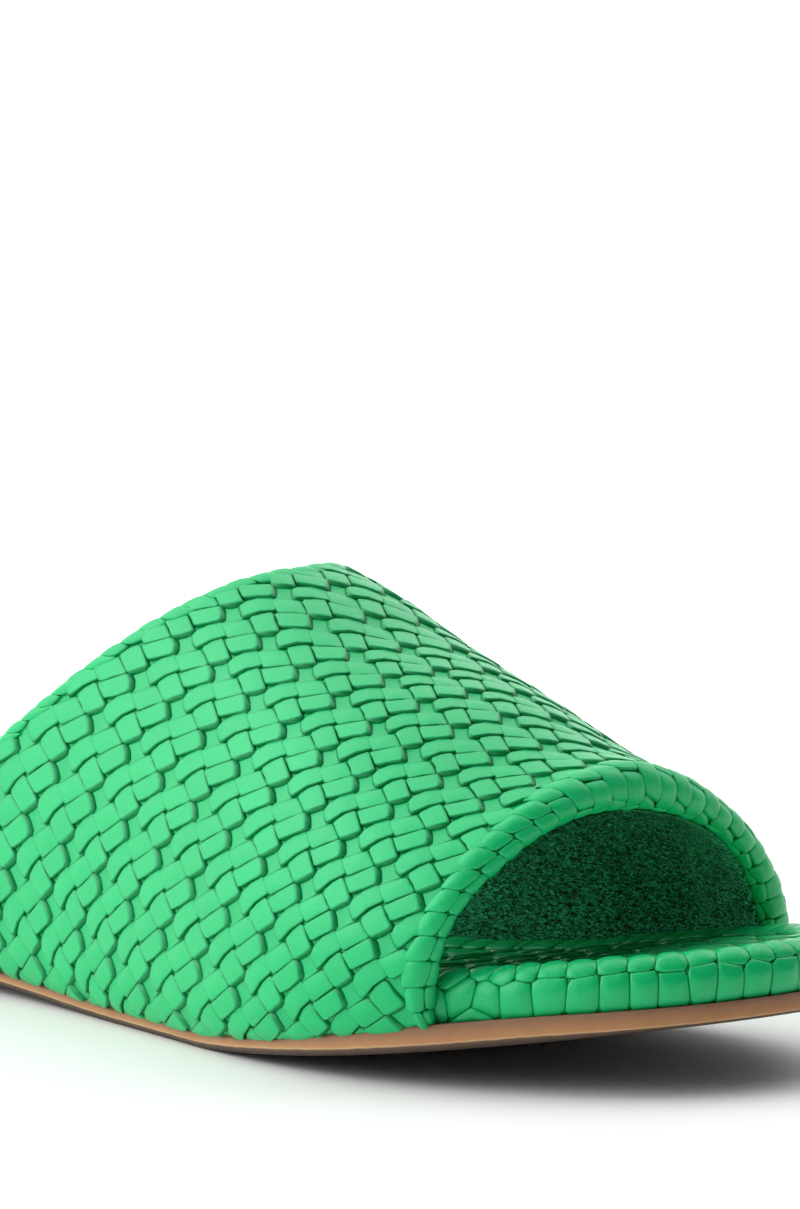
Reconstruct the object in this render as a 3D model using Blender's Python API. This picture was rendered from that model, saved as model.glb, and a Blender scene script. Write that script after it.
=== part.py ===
"""Braided flat sandal, right shoe: outsole, woven footbed and one wide woven band.

Sizes are in millimetres, and each mesh is scaled to metres when it is made.
X runs from heel to toe, -Y is the outer (lateral) side of the foot and +Z is up.
The origin is the middle of the sole's length and width, on the floor.
"""

from math import pi

import bmesh
import bpy
import numpy as np

MM = 0.001
FIT_GAP = 0.3

# Sole: length, and the outline's half widths to either side of the centre line
LENGTH = 258.0
CENTRE_Y = 1.15
TOE_TIP_Y = 10.0
OUTLINE_COLUMNS = ("from_heel", "lateral", "medial")
OUTLINE_ROWS = (
    (14.0, 23.0, 23.0),
    (40.0, 31.0, 30.5),
    (80.0, 33.5, 30.0),
    (120.0, 38.3, 31.5),
    (155.0, 44.5, 38.0),
    (183.0, 47.8, 43.5),
    (207.0, 44.5, 45.6),
    (230.0, 32.5, 43.0),
    (248.0, 16.5, 32.7),
)
OUTLINE_SAMPLES = 720
OUTLINE_EASE = 0.75
RING_POINTS = 64
RING_TURN_WEIGHT = 24.0

# Sole seen from the side: toe spring, lifted waist, low heel and edge
SPRING_START = 23.0
SPRING_RISE = 14.0
SPRING_POWER = 1.26
WAIST_FRONT = -5.0
HEEL_BREAST = -72.0
HEEL_LIFT = 2.4
SOLE_THICK_BACK = 3.4
SOLE_THICK_TOE = 4.6
THICKEN_FROM = 40.0
THICKEN_TO = 85.0
EDGE_BEVEL = 0.8
FLAT_UNDER = 0.95

# Footbed: distance inside the sole's edge, rolled rim and dished top
BED_INSET_BAND = 2.4
BED_INSET_OPEN = 0.7
BED_OPEN_TOE = 90.0
BED_OPEN_HEEL = -98.0
BED_OPEN_RUN = 10.0
RIM_COLUMNS = ("inset", "rise")
RIM_ROWS = (
    (0.7, 0.0),
    (0.0, 2.8),
    (0.5, 5.6),
    (2.4, 7.3),
    (5.2, 7.6),
    (9.0, 6.9),
)
DISH_DEPTH = 0.9
DISH_CUTS = 3
DISH_END_RUN = 40.0

# Band: cross-sections, with the crest's height over the sole's top face, the
# squareness of the arch and how far the crest leans to the medial side
SECTION_COLUMNS = ("x", "height", "squareness", "lean")
SECTION_ROWS = (
    (-100.0, 92.4, 2.5, 10.0),
    (-70.0, 91.9, 2.5, 10.0),
    (-35.0, 89.9, 2.5, 10.0),
    (0.0, 82.4, 2.5, 10.0),
    (30.0, 71.6, 2.3, 6.0),
    (60.0, 55.0, 2.15, 2.0),
    (95.0, 37.4, 1.95, -2.0),
)
EQUATOR_RISE = 9.5
EQUATOR_OVERHANG = 2.8
FOOT_TUCK = 2.2
LEAN_POWER = 1.5
ARCH_SAMPLES = 160
TUCK_SAMPLES = 16

# Band edges: where the toe edge and the throat edge cross each side and the crest
TOE_EDGE = {"lateral": 85.0, "crest": 91.6, "medial": 86.4, "power": 1.0}
THROAT_EDGE = {"lateral": -92.8, "crest": -1.8, "medial": -88.8, "power": 1.76}
WALL = 4.6
WALL_TOE = 6.2
WALL_TOE_BACK = 0.18
WALL_TOE_ACROSS = 0.12
WALL_FOOT = 2.6
ROLL = 2.4
ROLL_FROM_FOOT = 0.10
RIM_RINGS = 2
TANGENT_STEP = 0.01

# Weave: two sets of flat strips, laid out on the band's unrolled surface
CROSS_PITCH = 6.40
CROSS_ANGLE = 55.4
CROSS_PHASE = 1.23
RUN_PITCH = 4.14
RUN_ANGLE = -51.85
RUN_PHASE = -5.98
SIDE_STRETCH = 0.0008
REPEAT = 5
SHIFT_PER_COLUMN = 2
GROOVE = 0.9
STRIP_BEVEL = 0.75
SMALLEST_CELL = 0.55
GRID_COLUMNS = 48
GRID_ROWS = 72
SHEET_WIDTH = 200.0
SHEET_LENGTH = 130.0
SNAP = 0.9
ON_LINE = 0.09
HALF_CELL = 0.5
LINING_COLUMNS = 24
LINING_ROWS = 11
LINING_MARGIN = 0.04

# Finishes: colour, roughness and the angle past which an edge is drawn sharp
GREEN = (0.048, 0.60, 0.21, 1.0)
GREEN_ROUGHNESS = 0.45
DEEP_GREEN = (0.040, 0.52, 0.18, 1.0)
DEEP_GREEN_ROUGHNESS = 0.5
TAN = (0.36, 0.20, 0.11, 1.0)
TAN_ROUGHNESS = 0.6
SHARP_ANGLE = 32.0


def column(columns, rows, name):
    """One named column of a table as an array."""
    place = columns.index(name)
    return np.array([row[place] for row in rows])


def smoothstep(value):
    """0 below 0, 1 above 1 and an even slope change between."""
    value = np.clip(value, 0.0, 1.0)
    return value * value * (3.0 - 2.0 * value)


def closed_curve(points, count):
    """Evenly numbered points on the cubic curve that closes through the given points."""
    size = len(points)
    ahead = np.roll(points, -1, axis=0)
    gaps = np.linalg.norm(ahead - points, axis=1) ** OUTLINE_EASE
    matrix = np.zeros((size, size))
    right = np.zeros((size, 2))
    for k in range(size):
        matrix[k, k - 1] += gaps[k - 1]
        matrix[k, k] += 2.0 * (gaps[k - 1] + gaps[k])
        matrix[k, (k + 1) % size] += gaps[k]
        right[k] = (ahead[k] - points[k]) / gaps[k] - (points[k] - points[k - 1]) / gaps[k - 1]
    bend = np.linalg.solve(matrix, 6.0 * right)
    stops = np.concatenate(([0.0], np.cumsum(gaps)))
    places = np.linspace(0.0, stops[-1], count, endpoint=False)
    span = np.searchsorted(stops, places, side="right") - 1
    step = gaps[span][:, None]
    late = (places - stops[span])[:, None]
    early = step - late
    after = (span + 1) % size
    cubic = (bend[span] * early**3 + bend[after] * late**3) / (6.0 * step)
    near = (points[span] / step - bend[span] * step / 6.0) * early
    far = (points[after] / step - bend[after] * step / 6.0) * late
    return cubic + near + far


def sole_outline():
    """Plan outline from the heel tip along the lateral side to the toe and back."""
    x = column(OUTLINE_COLUMNS, OUTLINE_ROWS, "from_heel")
    lateral = np.column_stack((x, -column(OUTLINE_COLUMNS, OUTLINE_ROWS, "lateral")))
    medial = np.column_stack((x, column(OUTLINE_COLUMNS, OUTLINE_ROWS, "medial")))
    knots = np.vstack(([(0.0, 0.0)], lateral, [(LENGTH, TOE_TIP_Y)], medial[::-1]))
    curve = closed_curve(knots, OUTLINE_SAMPLES)
    first, last = curve[:, 0].min(), curve[:, 0].max()
    curve[:, 0] = (curve[:, 0] - first) * LENGTH / (last - first) - LENGTH / 2.0
    curve[:, 1] += CENTRE_Y
    return np.roll(curve, -int(np.argmin(curve[:, 0])), axis=0)


OUTLINE = sole_outline()
TOE_INDEX = int(np.argmax(OUTLINE[:, 0]))


def outline_normals():
    """Unit directions in plan that point out of the sole at each outline sample."""
    run = np.roll(OUTLINE, -1, axis=0) - np.roll(OUTLINE, 1, axis=0)
    run /= np.linalg.norm(run, axis=1)[:, None]
    return np.column_stack((run[:, 1], -run[:, 0]))


OUTWARD = outline_normals()


def lateral_edge(x):
    """Y of the sole's lateral edge."""
    return np.interp(x, OUTLINE[: TOE_INDEX + 1, 0], OUTLINE[: TOE_INDEX + 1, 1])


def medial_edge(x):
    """Y of the sole's medial edge."""
    return np.interp(x, OUTLINE[TOE_INDEX:, 0][::-1], OUTLINE[TOE_INDEX:, 1][::-1])


def sole_under(x):
    """Height of the sole's underside, without the heel: flat ball, toe spring, waist."""
    spring = np.clip((x - SPRING_START) / (LENGTH / 2.0 - SPRING_START), 0.0, 1.0)
    waist = smoothstep((WAIST_FRONT - x) / (WAIST_FRONT - HEEL_BREAST))
    return SPRING_RISE * spring**SPRING_POWER + HEEL_LIFT * waist


def sole_over(x):
    """Height of the sole's top face."""
    share = smoothstep((x - THICKEN_FROM) / (THICKEN_TO - THICKEN_FROM))
    return sole_under(x) + SOLE_THICK_BACK + (SOLE_THICK_TOE - SOLE_THICK_BACK) * share


def ring_places():
    """Outline samples for a ring, closer together where the outline turns."""
    places = []
    for first, last in ((0, TOE_INDEX), (TOE_INDEX, OUTLINE_SAMPLES)):
        indices = np.arange(first, last + 1)
        run = np.diff(OUTLINE[indices % OUTLINE_SAMPLES], axis=0)
        heading = np.unwrap(np.arctan2(run[:, 1], run[:, 0]))
        turn = np.abs(np.gradient(heading))
        weight = np.linalg.norm(run, axis=1) + RING_TURN_WEIGHT * turn
        total = np.concatenate(([0.0], np.cumsum(weight)))
        targets = np.linspace(0.0, total[-1], RING_POINTS // 2, endpoint=False)
        places.extend(np.interp(targets, total, indices))
    return np.array(places).round().astype(int) % OUTLINE_SAMPLES


RING = ring_places()


def ring_at(inset):
    """Ring of plan points, inset from the sole's edge by one distance or one for each."""
    return OUTLINE[RING] - OUTWARD[RING] * np.broadcast_to(inset, RING_POINTS)[:, None]


def close_across(bm, ring):
    """Fill a ring from its lateral to its medial half. Returns the rungs between them."""
    half = RING_POINTS // 2
    lateral, medial = ring[1:half], ring[:half:-1]
    rails = []
    for rail in (lateral, medial):
        rails.extend(bm.edges.get(pair) for pair in zip(rail, rail[1:]))
    bmesh.ops.bridge_loops(bm, edges=rails)
    bmesh.ops.contextual_create(bm, geom=[ring[0], lateral[0], medial[0]])
    bmesh.ops.contextual_create(bm, geom=[ring[half], lateral[-1], medial[-1]])
    return [bm.edges.get(pair) for pair in zip(lateral, medial)]


def stacked_rings(levels):
    """A bmesh tube of rings, each level a pair of inset and height arrays."""
    bm = bmesh.new()
    circle = bmesh.ops.create_circle(bm, cap_ends=False, segments=RING_POINTS)
    ring = list(circle["verts"])
    rings = []
    for number, (inset, height) in enumerate(levels):
        if number:
            edges = [bm.edges.get((a, b)) for a, b in zip(ring, ring[1:] + ring[:1])]
            made = bmesh.ops.extrude_edge_only(bm, edges=edges)["geom"]
            fresh = {item for item in made if isinstance(item, bmesh.types.BMVert)}
            ring = [next(e.other_vert(v) for e in v.link_edges if e.other_vert(v) in fresh) for v in ring]
        for vert, (x, y), z in zip(ring, ring_at(inset), height):
            vert.co = (x, y, z)
        rings.append(ring)
    return bm, rings


def paint(name, colour, roughness):
    """A Principled material."""
    material = bpy.data.materials.new(name)
    material.use_nodes = True
    shader = material.node_tree.nodes["Principled BSDF"]
    shader.inputs["Base Color"].default_value = colour
    shader.inputs["Roughness"].default_value = roughness
    shader.inputs["Metallic"].default_value = 0.0
    material.diffuse_color = colour
    return material


def add_part(collection, name, bm, material):
    """Turn a bmesh in millimetres into a named object in metres."""
    bmesh.ops.scale(bm, vec=(MM, MM, MM), verts=bm.verts)
    bmesh.ops.recalc_face_normals(bm, faces=bm.faces)
    mesh = bpy.data.meshes.new(name)
    bm.to_mesh(mesh)
    bm.free()
    mesh.materials.append(material)
    mesh.shade_smooth()
    mesh.set_sharp_from_angle(angle=np.radians(SHARP_ANGLE))
    part = bpy.data.objects.new(name, mesh)
    collection.objects.link(part)
    return part


def outsole_mesh():
    """Moulded sole: bevelled edge, toe spring, lifted waist and a low heel block."""
    x = ring_at(0.0)[:, 0]
    levels = (
        (EDGE_BEVEL, sole_under(x)),
        (0.0, sole_under(x) + EDGE_BEVEL),
        (0.0, sole_over(x)),
    )
    bm, rings = stacked_rings(levels)
    close_across(bm, rings[0])
    close_across(bm, rings[-1])
    bmesh.ops.recalc_face_normals(bm, faces=bm.faces)
    everything = list(bm.verts) + list(bm.edges) + list(bm.faces)
    bmesh.ops.bisect_plane(bm, geom=everything, plane_co=(HEEL_BREAST, 0.0, 0.0), plane_no=(1.0, 0.0, 0.0))
    heel = []
    for face in bm.faces:
        behind = face.calc_center_median().x < HEEL_BREAST
        underneath = face.normal.z < -FLAT_UNDER and max(v.co.z for v in face.verts) < HEEL_LIFT + EDGE_BEVEL / 2.0
        if behind and underneath:
            heel.append(face)
    made = bmesh.ops.extrude_face_region(bm, geom=heel)["geom"]
    bmesh.ops.delete(bm, geom=heel, context="FACES")
    for item in made:
        if isinstance(item, bmesh.types.BMVert):
            item.co.z = 0.0
    return bm


def bed_inset(x):
    """How far the footbed's belly stays inside the sole's edge: less where no band covers it."""
    toe = smoothstep((x - BED_OPEN_TOE) / BED_OPEN_RUN)
    heel = smoothstep((BED_OPEN_HEEL - x) / BED_OPEN_RUN)
    return BED_INSET_BAND + (BED_INSET_OPEN - BED_INSET_BAND) * np.maximum(toe, heel)


def footbed_mesh():
    """Padded footbed with a rolled rim and a dished top."""
    inset = bed_inset(ring_at(0.0)[:, 0])
    levels = []
    insets, rises = (column(RIM_COLUMNS, RIM_ROWS, name) for name in RIM_COLUMNS)
    for row_inset, rise in zip(insets, rises):
        x = ring_at(inset + row_inset)[:, 0]
        levels.append((inset + row_inset, sole_over(x) + FIT_GAP + rise))
    bm, rings = stacked_rings(levels)
    close_across(bm, rings[0])
    rungs = close_across(bm, rings[-1])
    made = bmesh.ops.subdivide_edges(bm, edges=rungs, cuts=DISH_CUTS)["geom_inner"]
    for item in made:
        if isinstance(item, bmesh.types.BMVert):
            x, y, z = item.co
            low, high = lateral_edge(x), medial_edge(x)
            across = np.clip((y - low) / (high - low), 0.0, 1.0)
            from_end = LENGTH / 2.0 - abs(x)
            item.co.z = z - DISH_DEPTH * np.sin(pi * across) ** 2 * smoothstep(from_end / DISH_END_RUN)
    return bm


def natural_curve(knots, values, place):
    """Cubic curve through a table's column, straight at both ends."""
    size = len(knots)
    gaps = np.diff(knots)
    slopes = np.diff(values) / gaps
    matrix = np.eye(size)
    right = np.zeros(size)
    for k in range(1, size - 1):
        matrix[k, k - 1 : k + 2] = gaps[k - 1], 2.0 * (gaps[k - 1] + gaps[k]), gaps[k]
        right[k] = 6.0 * (slopes[k] - slopes[k - 1])
    bend = np.linalg.solve(matrix, right)
    k = int(np.clip(np.searchsorted(knots, place) - 1, 0, size - 2))
    late, early = place - knots[k], knots[k + 1] - place
    cubic = (bend[k] * early**3 + bend[k + 1] * late**3) / (6.0 * gaps[k])
    near = (values[k] / gaps[k] - bend[k] * gaps[k] / 6.0) * early
    far = (values[k + 1] / gaps[k] - bend[k + 1] * gaps[k] / 6.0) * late
    return cubic + near + far


SECTION_X = column(SECTION_COLUMNS, SECTION_ROWS, "x")


def section_value(name, x):
    """A band section's height, squareness or lean at X."""
    return natural_curve(SECTION_X, column(SECTION_COLUMNS, SECTION_ROWS, name), x)


def band_section(x, wall=0.0):
    """Points of the band's section at X from the lateral foot over the crest to the medial
    foot: the outer face, or with a wall thickness the inner face."""
    foot_in = WALL_FOOT if wall else 0.0
    left = lateral_edge(x) - EQUATOR_OVERHANG
    right = medial_edge(x) + EQUATOR_OVERHANG
    half, middle = (right - left) / 2.0 - wall, (right + left) / 2.0
    foot = sole_over(x) + FIT_GAP
    equator = foot + EQUATOR_RISE
    crest = section_value("height", x) - EQUATOR_RISE - wall
    power = 2.0 / section_value("squareness", x)
    angle = np.linspace(0.0, pi, ARCH_SAMPLES)
    across = -np.sign(np.cos(angle)) * np.abs(np.cos(angle)) ** power
    rise = np.abs(np.sin(angle)) ** power
    arch_y = middle + half * across + section_value("lean", x) * rise**LEAN_POWER
    down = np.linspace(pi / 2.0, 0.0, TUCK_SAMPLES, endpoint=False)
    tuck = (FOOT_TUCK + foot_in - wall) * (1.0 - np.cos(down))
    drop = EQUATOR_RISE * np.sin(down)
    y = np.concatenate((middle - half + tuck, arch_y, middle + half - tuck[::-1]))
    z = np.concatenate((equator - drop, equator + crest * rise, equator - drop[::-1]))
    return y, z


def arc_lengths(y, z):
    """Running length along a section."""
    return np.concatenate(([0.0], np.cumsum(np.hypot(np.diff(y), np.diff(z)))))


def girth(x):
    """Length of the band's outer section from foot to foot."""
    return arc_lengths(*band_section(x))[-1]


def edge_x(edge, share):
    """X of a band edge at a share of the way from the lateral to the medial foot."""
    share = np.clip(share, 0.0, 1.0)
    crest = np.sin(pi * share) ** edge["power"]
    straight = edge["lateral"] + (edge["medial"] - edge["lateral"]) * share
    return straight * (1.0 - crest) + edge["crest"] * crest


def wall_thickness(across, back):
    """Thickness of the padded wall: fuller along the toe edge, above the footbed."""
    near_toe = 1.0 - smoothstep(back / WALL_TOE_BACK)
    off_foot = smoothstep(min(across, 1.0 - across) / WALL_TOE_ACROSS)
    return WALL + (WALL_TOE - WALL) * near_toe * off_foot


def band_point(across, back, inner=False):
    """Point of the band at shares across (lateral to medial) and back (toe to throat edge)."""
    toe, throat = edge_x(TOE_EDGE, across), edge_x(THROAT_EDGE, across)
    x = toe + (throat - toe) * back
    y, z = band_section(x, wall_thickness(across, back) if inner else 0.0)
    length = arc_lengths(y, z)
    place = across * length[-1]
    return np.array((x, np.interp(place, length, y), np.interp(place, length, z)))


def band_tangents(across, back):
    """Steps along the outer face across the band and back along it."""
    a = np.clip((across - TANGENT_STEP, across + TANGENT_STEP), 0.0, 1.0)
    b = np.clip((back - TANGENT_STEP, back + TANGENT_STEP), 0.0, 1.0)
    side = band_point(a[1], back) - band_point(a[0], back)
    rear = band_point(across, b[1]) - band_point(across, b[0])
    return side / np.linalg.norm(side), rear / np.linalg.norm(rear)


def sheet_place(i, j):
    """Shares across and back of a place in the weave. Whole numbers are the cells' middles."""
    cross, run = np.radians(CROSS_ANGLE), np.radians(RUN_ANGLE)
    matrix = np.array(((np.cos(cross), np.sin(cross)), (np.cos(run), np.sin(run))))
    steps = ((i - CROSS_PHASE) * CROSS_PITCH, (j - RUN_PHASE) * RUN_PITCH)
    x, arc = np.linalg.solve(matrix, steps)
    inside = max(1.0 - 4.0 * SIDE_STRETCH * abs(arc), 0.0)
    arc = np.sign(arc) * (1.0 - np.sqrt(inside)) / (2.0 * SIDE_STRETCH)
    across = 0.5 + arc / girth(np.clip(x, SECTION_X[0], SECTION_X[-1]))
    toe, throat = edge_x(TOE_EDGE, across), edge_x(THROAT_EDGE, across)
    return across, (toe - x) / (toe - throat)


def is_pit(i, j):
    """True where a run strip is pinched low between two neighbours."""
    return (j - SHIFT_PER_COLUMN * i) % REPEAT == 0


def woven_sheet():
    """The band's unrolled sheet: woven cells trimmed to the band's four edges."""
    bm = bmesh.new()
    pits = bm.faces.layers.int.new("pit")
    bmesh.ops.create_grid(bm, x_segments=GRID_COLUMNS, y_segments=GRID_ROWS, size=0.5)
    bmesh.ops.scale(bm, vec=(GRID_COLUMNS, GRID_ROWS, 1.0), verts=bm.verts)
    shift_j = round(RUN_PHASE)
    for face in bm.faces:
        middle = face.calc_center_median()
        face[pits] = int(is_pit(round(middle.x - HALF_CELL), round(middle.y - HALF_CELL) + shift_j))
    for vert in bm.verts:
        across, back = sheet_place(vert.co.x - HALF_CELL, vert.co.y - HALF_CELL + shift_j)
        place = [across * SHEET_WIDTH, back * SHEET_LENGTH]
        for axis, limit in ((0, SHEET_WIDTH), (1, SHEET_LENGTH)):
            for line in (0.0, limit):
                if abs(place[axis] - line) < SNAP:
                    place[axis] = line
        vert.co = (*place, 0.0)
    trims = (
        ((0.0, 0.0, 0.0), (-1.0, 0.0, 0.0)),
        ((SHEET_WIDTH, 0.0, 0.0), (1.0, 0.0, 0.0)),
        ((0.0, 0.0, 0.0), (0.0, -1.0, 0.0)),
        ((0.0, SHEET_LENGTH, 0.0), (0.0, 1.0, 0.0)),
    )
    for point, normal in trims:
        everything = list(bm.verts) + list(bm.edges) + list(bm.faces)
        bmesh.ops.bisect_plane(bm, geom=everything, plane_co=point, plane_no=normal, clear_outer=True)
    merge_border(bm)
    return bm, pits


def merge_border(bm):
    """Weld border vertices that lie close together, and keep the sheet's four corners."""
    border = [vert for vert in bm.verts if vert.is_boundary]
    corners = []
    for vert in border:
        on_side = min(abs(vert.co.x), abs(vert.co.x - SHEET_WIDTH)) < ON_LINE
        on_end = min(abs(vert.co.y), abs(vert.co.y - SHEET_LENGTH)) < ON_LINE
        if on_side and on_end:
            corners.append(vert)
    close = bmesh.ops.find_doubles(bm, verts=border, keep_verts=corners, dist=SNAP)["targetmap"]
    bmesh.ops.weld_verts(bm, targetmap=close)
    rest = [vert for vert in bm.verts if vert.is_boundary and vert not in corners]
    bmesh.ops.remove_doubles(bm, verts=rest, dist=SNAP)
    bmesh.ops.dissolve_degenerate(bm, edges=bm.edges, dist=ON_LINE)


def raise_strips(bm, pits):
    """Lift each strip crossing out of the sheet and leave grooves, pits and slivers low."""
    least = SMALLEST_CELL * np.median([face.calc_area() for face in bm.faces])
    cells = [face for face in bm.faces if not face[pits] and face.calc_area() > least]
    for vert in bm.verts:
        vert.co.z = 0.0 if vert.is_boundary else -GROOVE
    bmesh.ops.inset_individual(bm, faces=cells, thickness=STRIP_BEVEL, use_even_offset=True)
    for face in cells:
        for vert in face.verts:
            vert.co.z = 0.0


def close_sheet(bm):
    """Turn the sheet's border over into a rim and close it with the lining's face.

    Returns the turn of each rim vertex, from 0 on the outer face to 1 on the inner.
    """
    turns = {}
    border = [edge for edge in bm.edges if edge.is_boundary]
    for ring in range(1, RIM_RINGS + 2):
        made = bmesh.ops.extrude_edge_only(bm, edges=border)["geom"]
        border = [item for item in made if isinstance(item, bmesh.types.BMEdge) and item.is_boundary]
        for edge in border:
            for vert in edge.verts:
                turns[vert] = ring / (RIM_RINGS + 1)
    lining = bmesh.ops.create_grid(bm, x_segments=LINING_COLUMNS, y_segments=LINING_ROWS, size=0.5)["verts"]
    for vert in lining:
        across = 0.5 + vert.co.x * (1.0 - 2.0 * LINING_MARGIN)
        back = 0.5 + vert.co.y * (1.0 - 2.0 * LINING_MARGIN)
        vert.co = (across * SHEET_WIDTH, back * SHEET_LENGTH, 0.0)
        turns[vert] = 1.0
    hem = {edge for vert in lining for edge in vert.link_edges if edge.is_boundary}
    bmesh.ops.triangle_fill(bm, edges=border + list(hem), use_beauty=True, normal=(0.0, 0.0, 1.0))
    return turns


def roll_amount(across, back):
    """How far the rim bulges past the band's edge: fully at the crest, not at the feet."""
    if 0.0 < back < 1.0:
        return 0.0
    from_foot = min(across, 1.0 - across)
    return ROLL * np.sqrt(smoothstep(from_foot / ROLL_FROM_FOOT))


def upper_mesh():
    """One hollow woven band: raised strips outside, rolled rims and a smooth lining face."""
    bm, pits = woven_sheet()
    raise_strips(bm, pits)
    turns = close_sheet(bm)
    for vert in bm.verts:
        across = float(np.clip(vert.co.x / SHEET_WIDTH, 0.0, 1.0))
        back = float(np.clip(vert.co.y / SHEET_LENGTH, 0.0, 1.0))
        turn = turns.get(vert, 0.0)
        outer = band_point(across, back)
        if turn == 0.0 and vert.co.z == 0.0:
            vert.co = outer
            continue
        if turn == 1.0:
            vert.co = band_point(across, back, inner=True)
            continue
        side, rear = band_tangents(across, back)
        if turn == 0.0:
            vert.co = outer + vert.co.z * np.cross(side, rear)
            continue
        inner = band_point(across, back, inner=True)
        ahead = rear if back > 0.5 else -rear
        middle = (outer + inner) / 2.0 + (outer - inner) / 2.0 * np.cos(pi * turn)
        vert.co = middle + ahead * roll_amount(across, back) * np.sin(pi * turn)
    return bm


def main():
    """Build the sandal in a collection of its own, under one empty."""
    for old in list(bpy.data.objects):
        bpy.data.objects.remove(old)
    collection = bpy.data.collections.new("braided_flat_sandal")
    bpy.context.scene.collection.children.link(collection)
    shoe = bpy.data.objects.new("shoe", None)
    collection.objects.link(shoe)
    tan_sole = paint("tan_sole", TAN, TAN_ROUGHNESS)
    bed_green = paint("bed_green", DEEP_GREEN, DEEP_GREEN_ROUGHNESS)
    band_green = paint("band_green", GREEN, GREEN_ROUGHNESS)
    parts = (
        add_part(collection, "outsole", outsole_mesh(), tan_sole),
        add_part(collection, "footbed", footbed_mesh(), bed_green),
        add_part(collection, "upper", upper_mesh(), band_green),
    )
    for part in parts:
        part.parent = shoe


main()
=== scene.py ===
"""Looks of a braided flat sandal: woven band, suede lining, woven footbed and thin outsole.

Forms are worked out in millimetres in the frame of the solids (X to the toe, -Y to the outer side,
Z up) and scaled to metres when a mesh is made.
"""

from __future__ import annotations

import logging
import math
from dataclasses import dataclass, field
from enum import Enum
from functools import partial
from typing import Callable, NamedTuple, Protocol

import bmesh
import bpy
import numpy as np
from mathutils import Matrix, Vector

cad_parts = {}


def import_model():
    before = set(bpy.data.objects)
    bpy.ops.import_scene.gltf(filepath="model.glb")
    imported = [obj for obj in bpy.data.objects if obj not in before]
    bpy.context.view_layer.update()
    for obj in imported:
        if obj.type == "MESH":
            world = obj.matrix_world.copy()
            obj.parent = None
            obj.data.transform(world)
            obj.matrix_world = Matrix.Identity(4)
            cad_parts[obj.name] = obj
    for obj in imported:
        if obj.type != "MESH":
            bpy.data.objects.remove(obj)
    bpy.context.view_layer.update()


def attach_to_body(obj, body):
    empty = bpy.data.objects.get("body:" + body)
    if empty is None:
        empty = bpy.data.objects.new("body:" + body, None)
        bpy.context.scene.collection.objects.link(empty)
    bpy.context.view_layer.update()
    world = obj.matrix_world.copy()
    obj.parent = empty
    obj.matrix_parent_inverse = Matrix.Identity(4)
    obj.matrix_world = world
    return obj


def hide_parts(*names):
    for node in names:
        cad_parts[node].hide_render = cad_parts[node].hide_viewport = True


MM = 0.001
# Height of the footbed's foot over the sole's top face: it is set a little way in.
SEAT = -0.1
BODY = "root"
# Where a tile's sides turn into its corners, as a share of the rounding.
CORNER_CUT = 0.8
Array = np.ndarray
Lift = Callable[[Array, Array], Array]
Colour = tuple[float, float, float, float]
log = logging.getLogger("sandal")


class OutlineRow(NamedTuple):
    """Half widths of the sole at a distance from the heel tip."""

    from_heel: float
    lateral: float
    medial: float


class SectionRow(NamedTuple):
    """The band's section at X: crest over the sole, squareness of each side and lean to the medial side."""

    x: float
    height: float
    lateral: float
    medial: float
    lean: float


class RimRow(NamedTuple):
    """A level of the footbed's rim: inset from its belly and rise over the sole."""

    inset: float
    rise: float


class WallRow(NamedTuple):
    """Thickness of the wall behind the toe edge, at a share across."""

    across: float
    wall: float


class EdgeRow(NamedTuple):
    """X of the toe edge at a share across."""

    across: float
    x: float


class ThroatEdge(NamedTuple):
    """X of the throat edge at the lateral foot, the crest and the medial foot, and its fullness."""

    lateral: float
    crest: float
    medial: float
    power: float


def smoothstep(value: Array | float) -> Array:
    """0 below 0, 1 above 1 and an even change of slope between."""
    value = np.clip(value, 0.0, 1.0)
    return value * value * (3.0 - 2.0 * value)


def natural_curve(knots: Array, values: Array, places: Array) -> Array:
    """Cubic curve through a table's column, straight at both ends.

    Args:
        knots: Places of the table's rows.
        values: The column.
        places: Where the curve is read.

    Returns:
        The curve's values.
    """
    size = len(knots)
    gaps = np.diff(knots)
    slopes = np.diff(values) / gaps
    matrix = np.eye(size)
    right = np.zeros(size)
    for k in range(1, size - 1):
        matrix[k, k - 1 : k + 2] = gaps[k - 1], 2.0 * (gaps[k - 1] + gaps[k]), gaps[k]
        right[k] = 6.0 * (slopes[k] - slopes[k - 1])
    bend = np.linalg.solve(matrix, right)
    k = np.clip(np.searchsorted(knots, places) - 1, 0, size - 2)
    late, early = places - knots[k], knots[k + 1] - places
    cubic = (bend[k] * early**3 + bend[k + 1] * late**3) / (6.0 * gaps[k])
    near = (values[k] / gaps[k] - bend[k] * gaps[k] / 6.0) * early
    far = (values[k + 1] / gaps[k] - bend[k + 1] * gaps[k] / 6.0) * late
    return cubic + near + far


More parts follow.
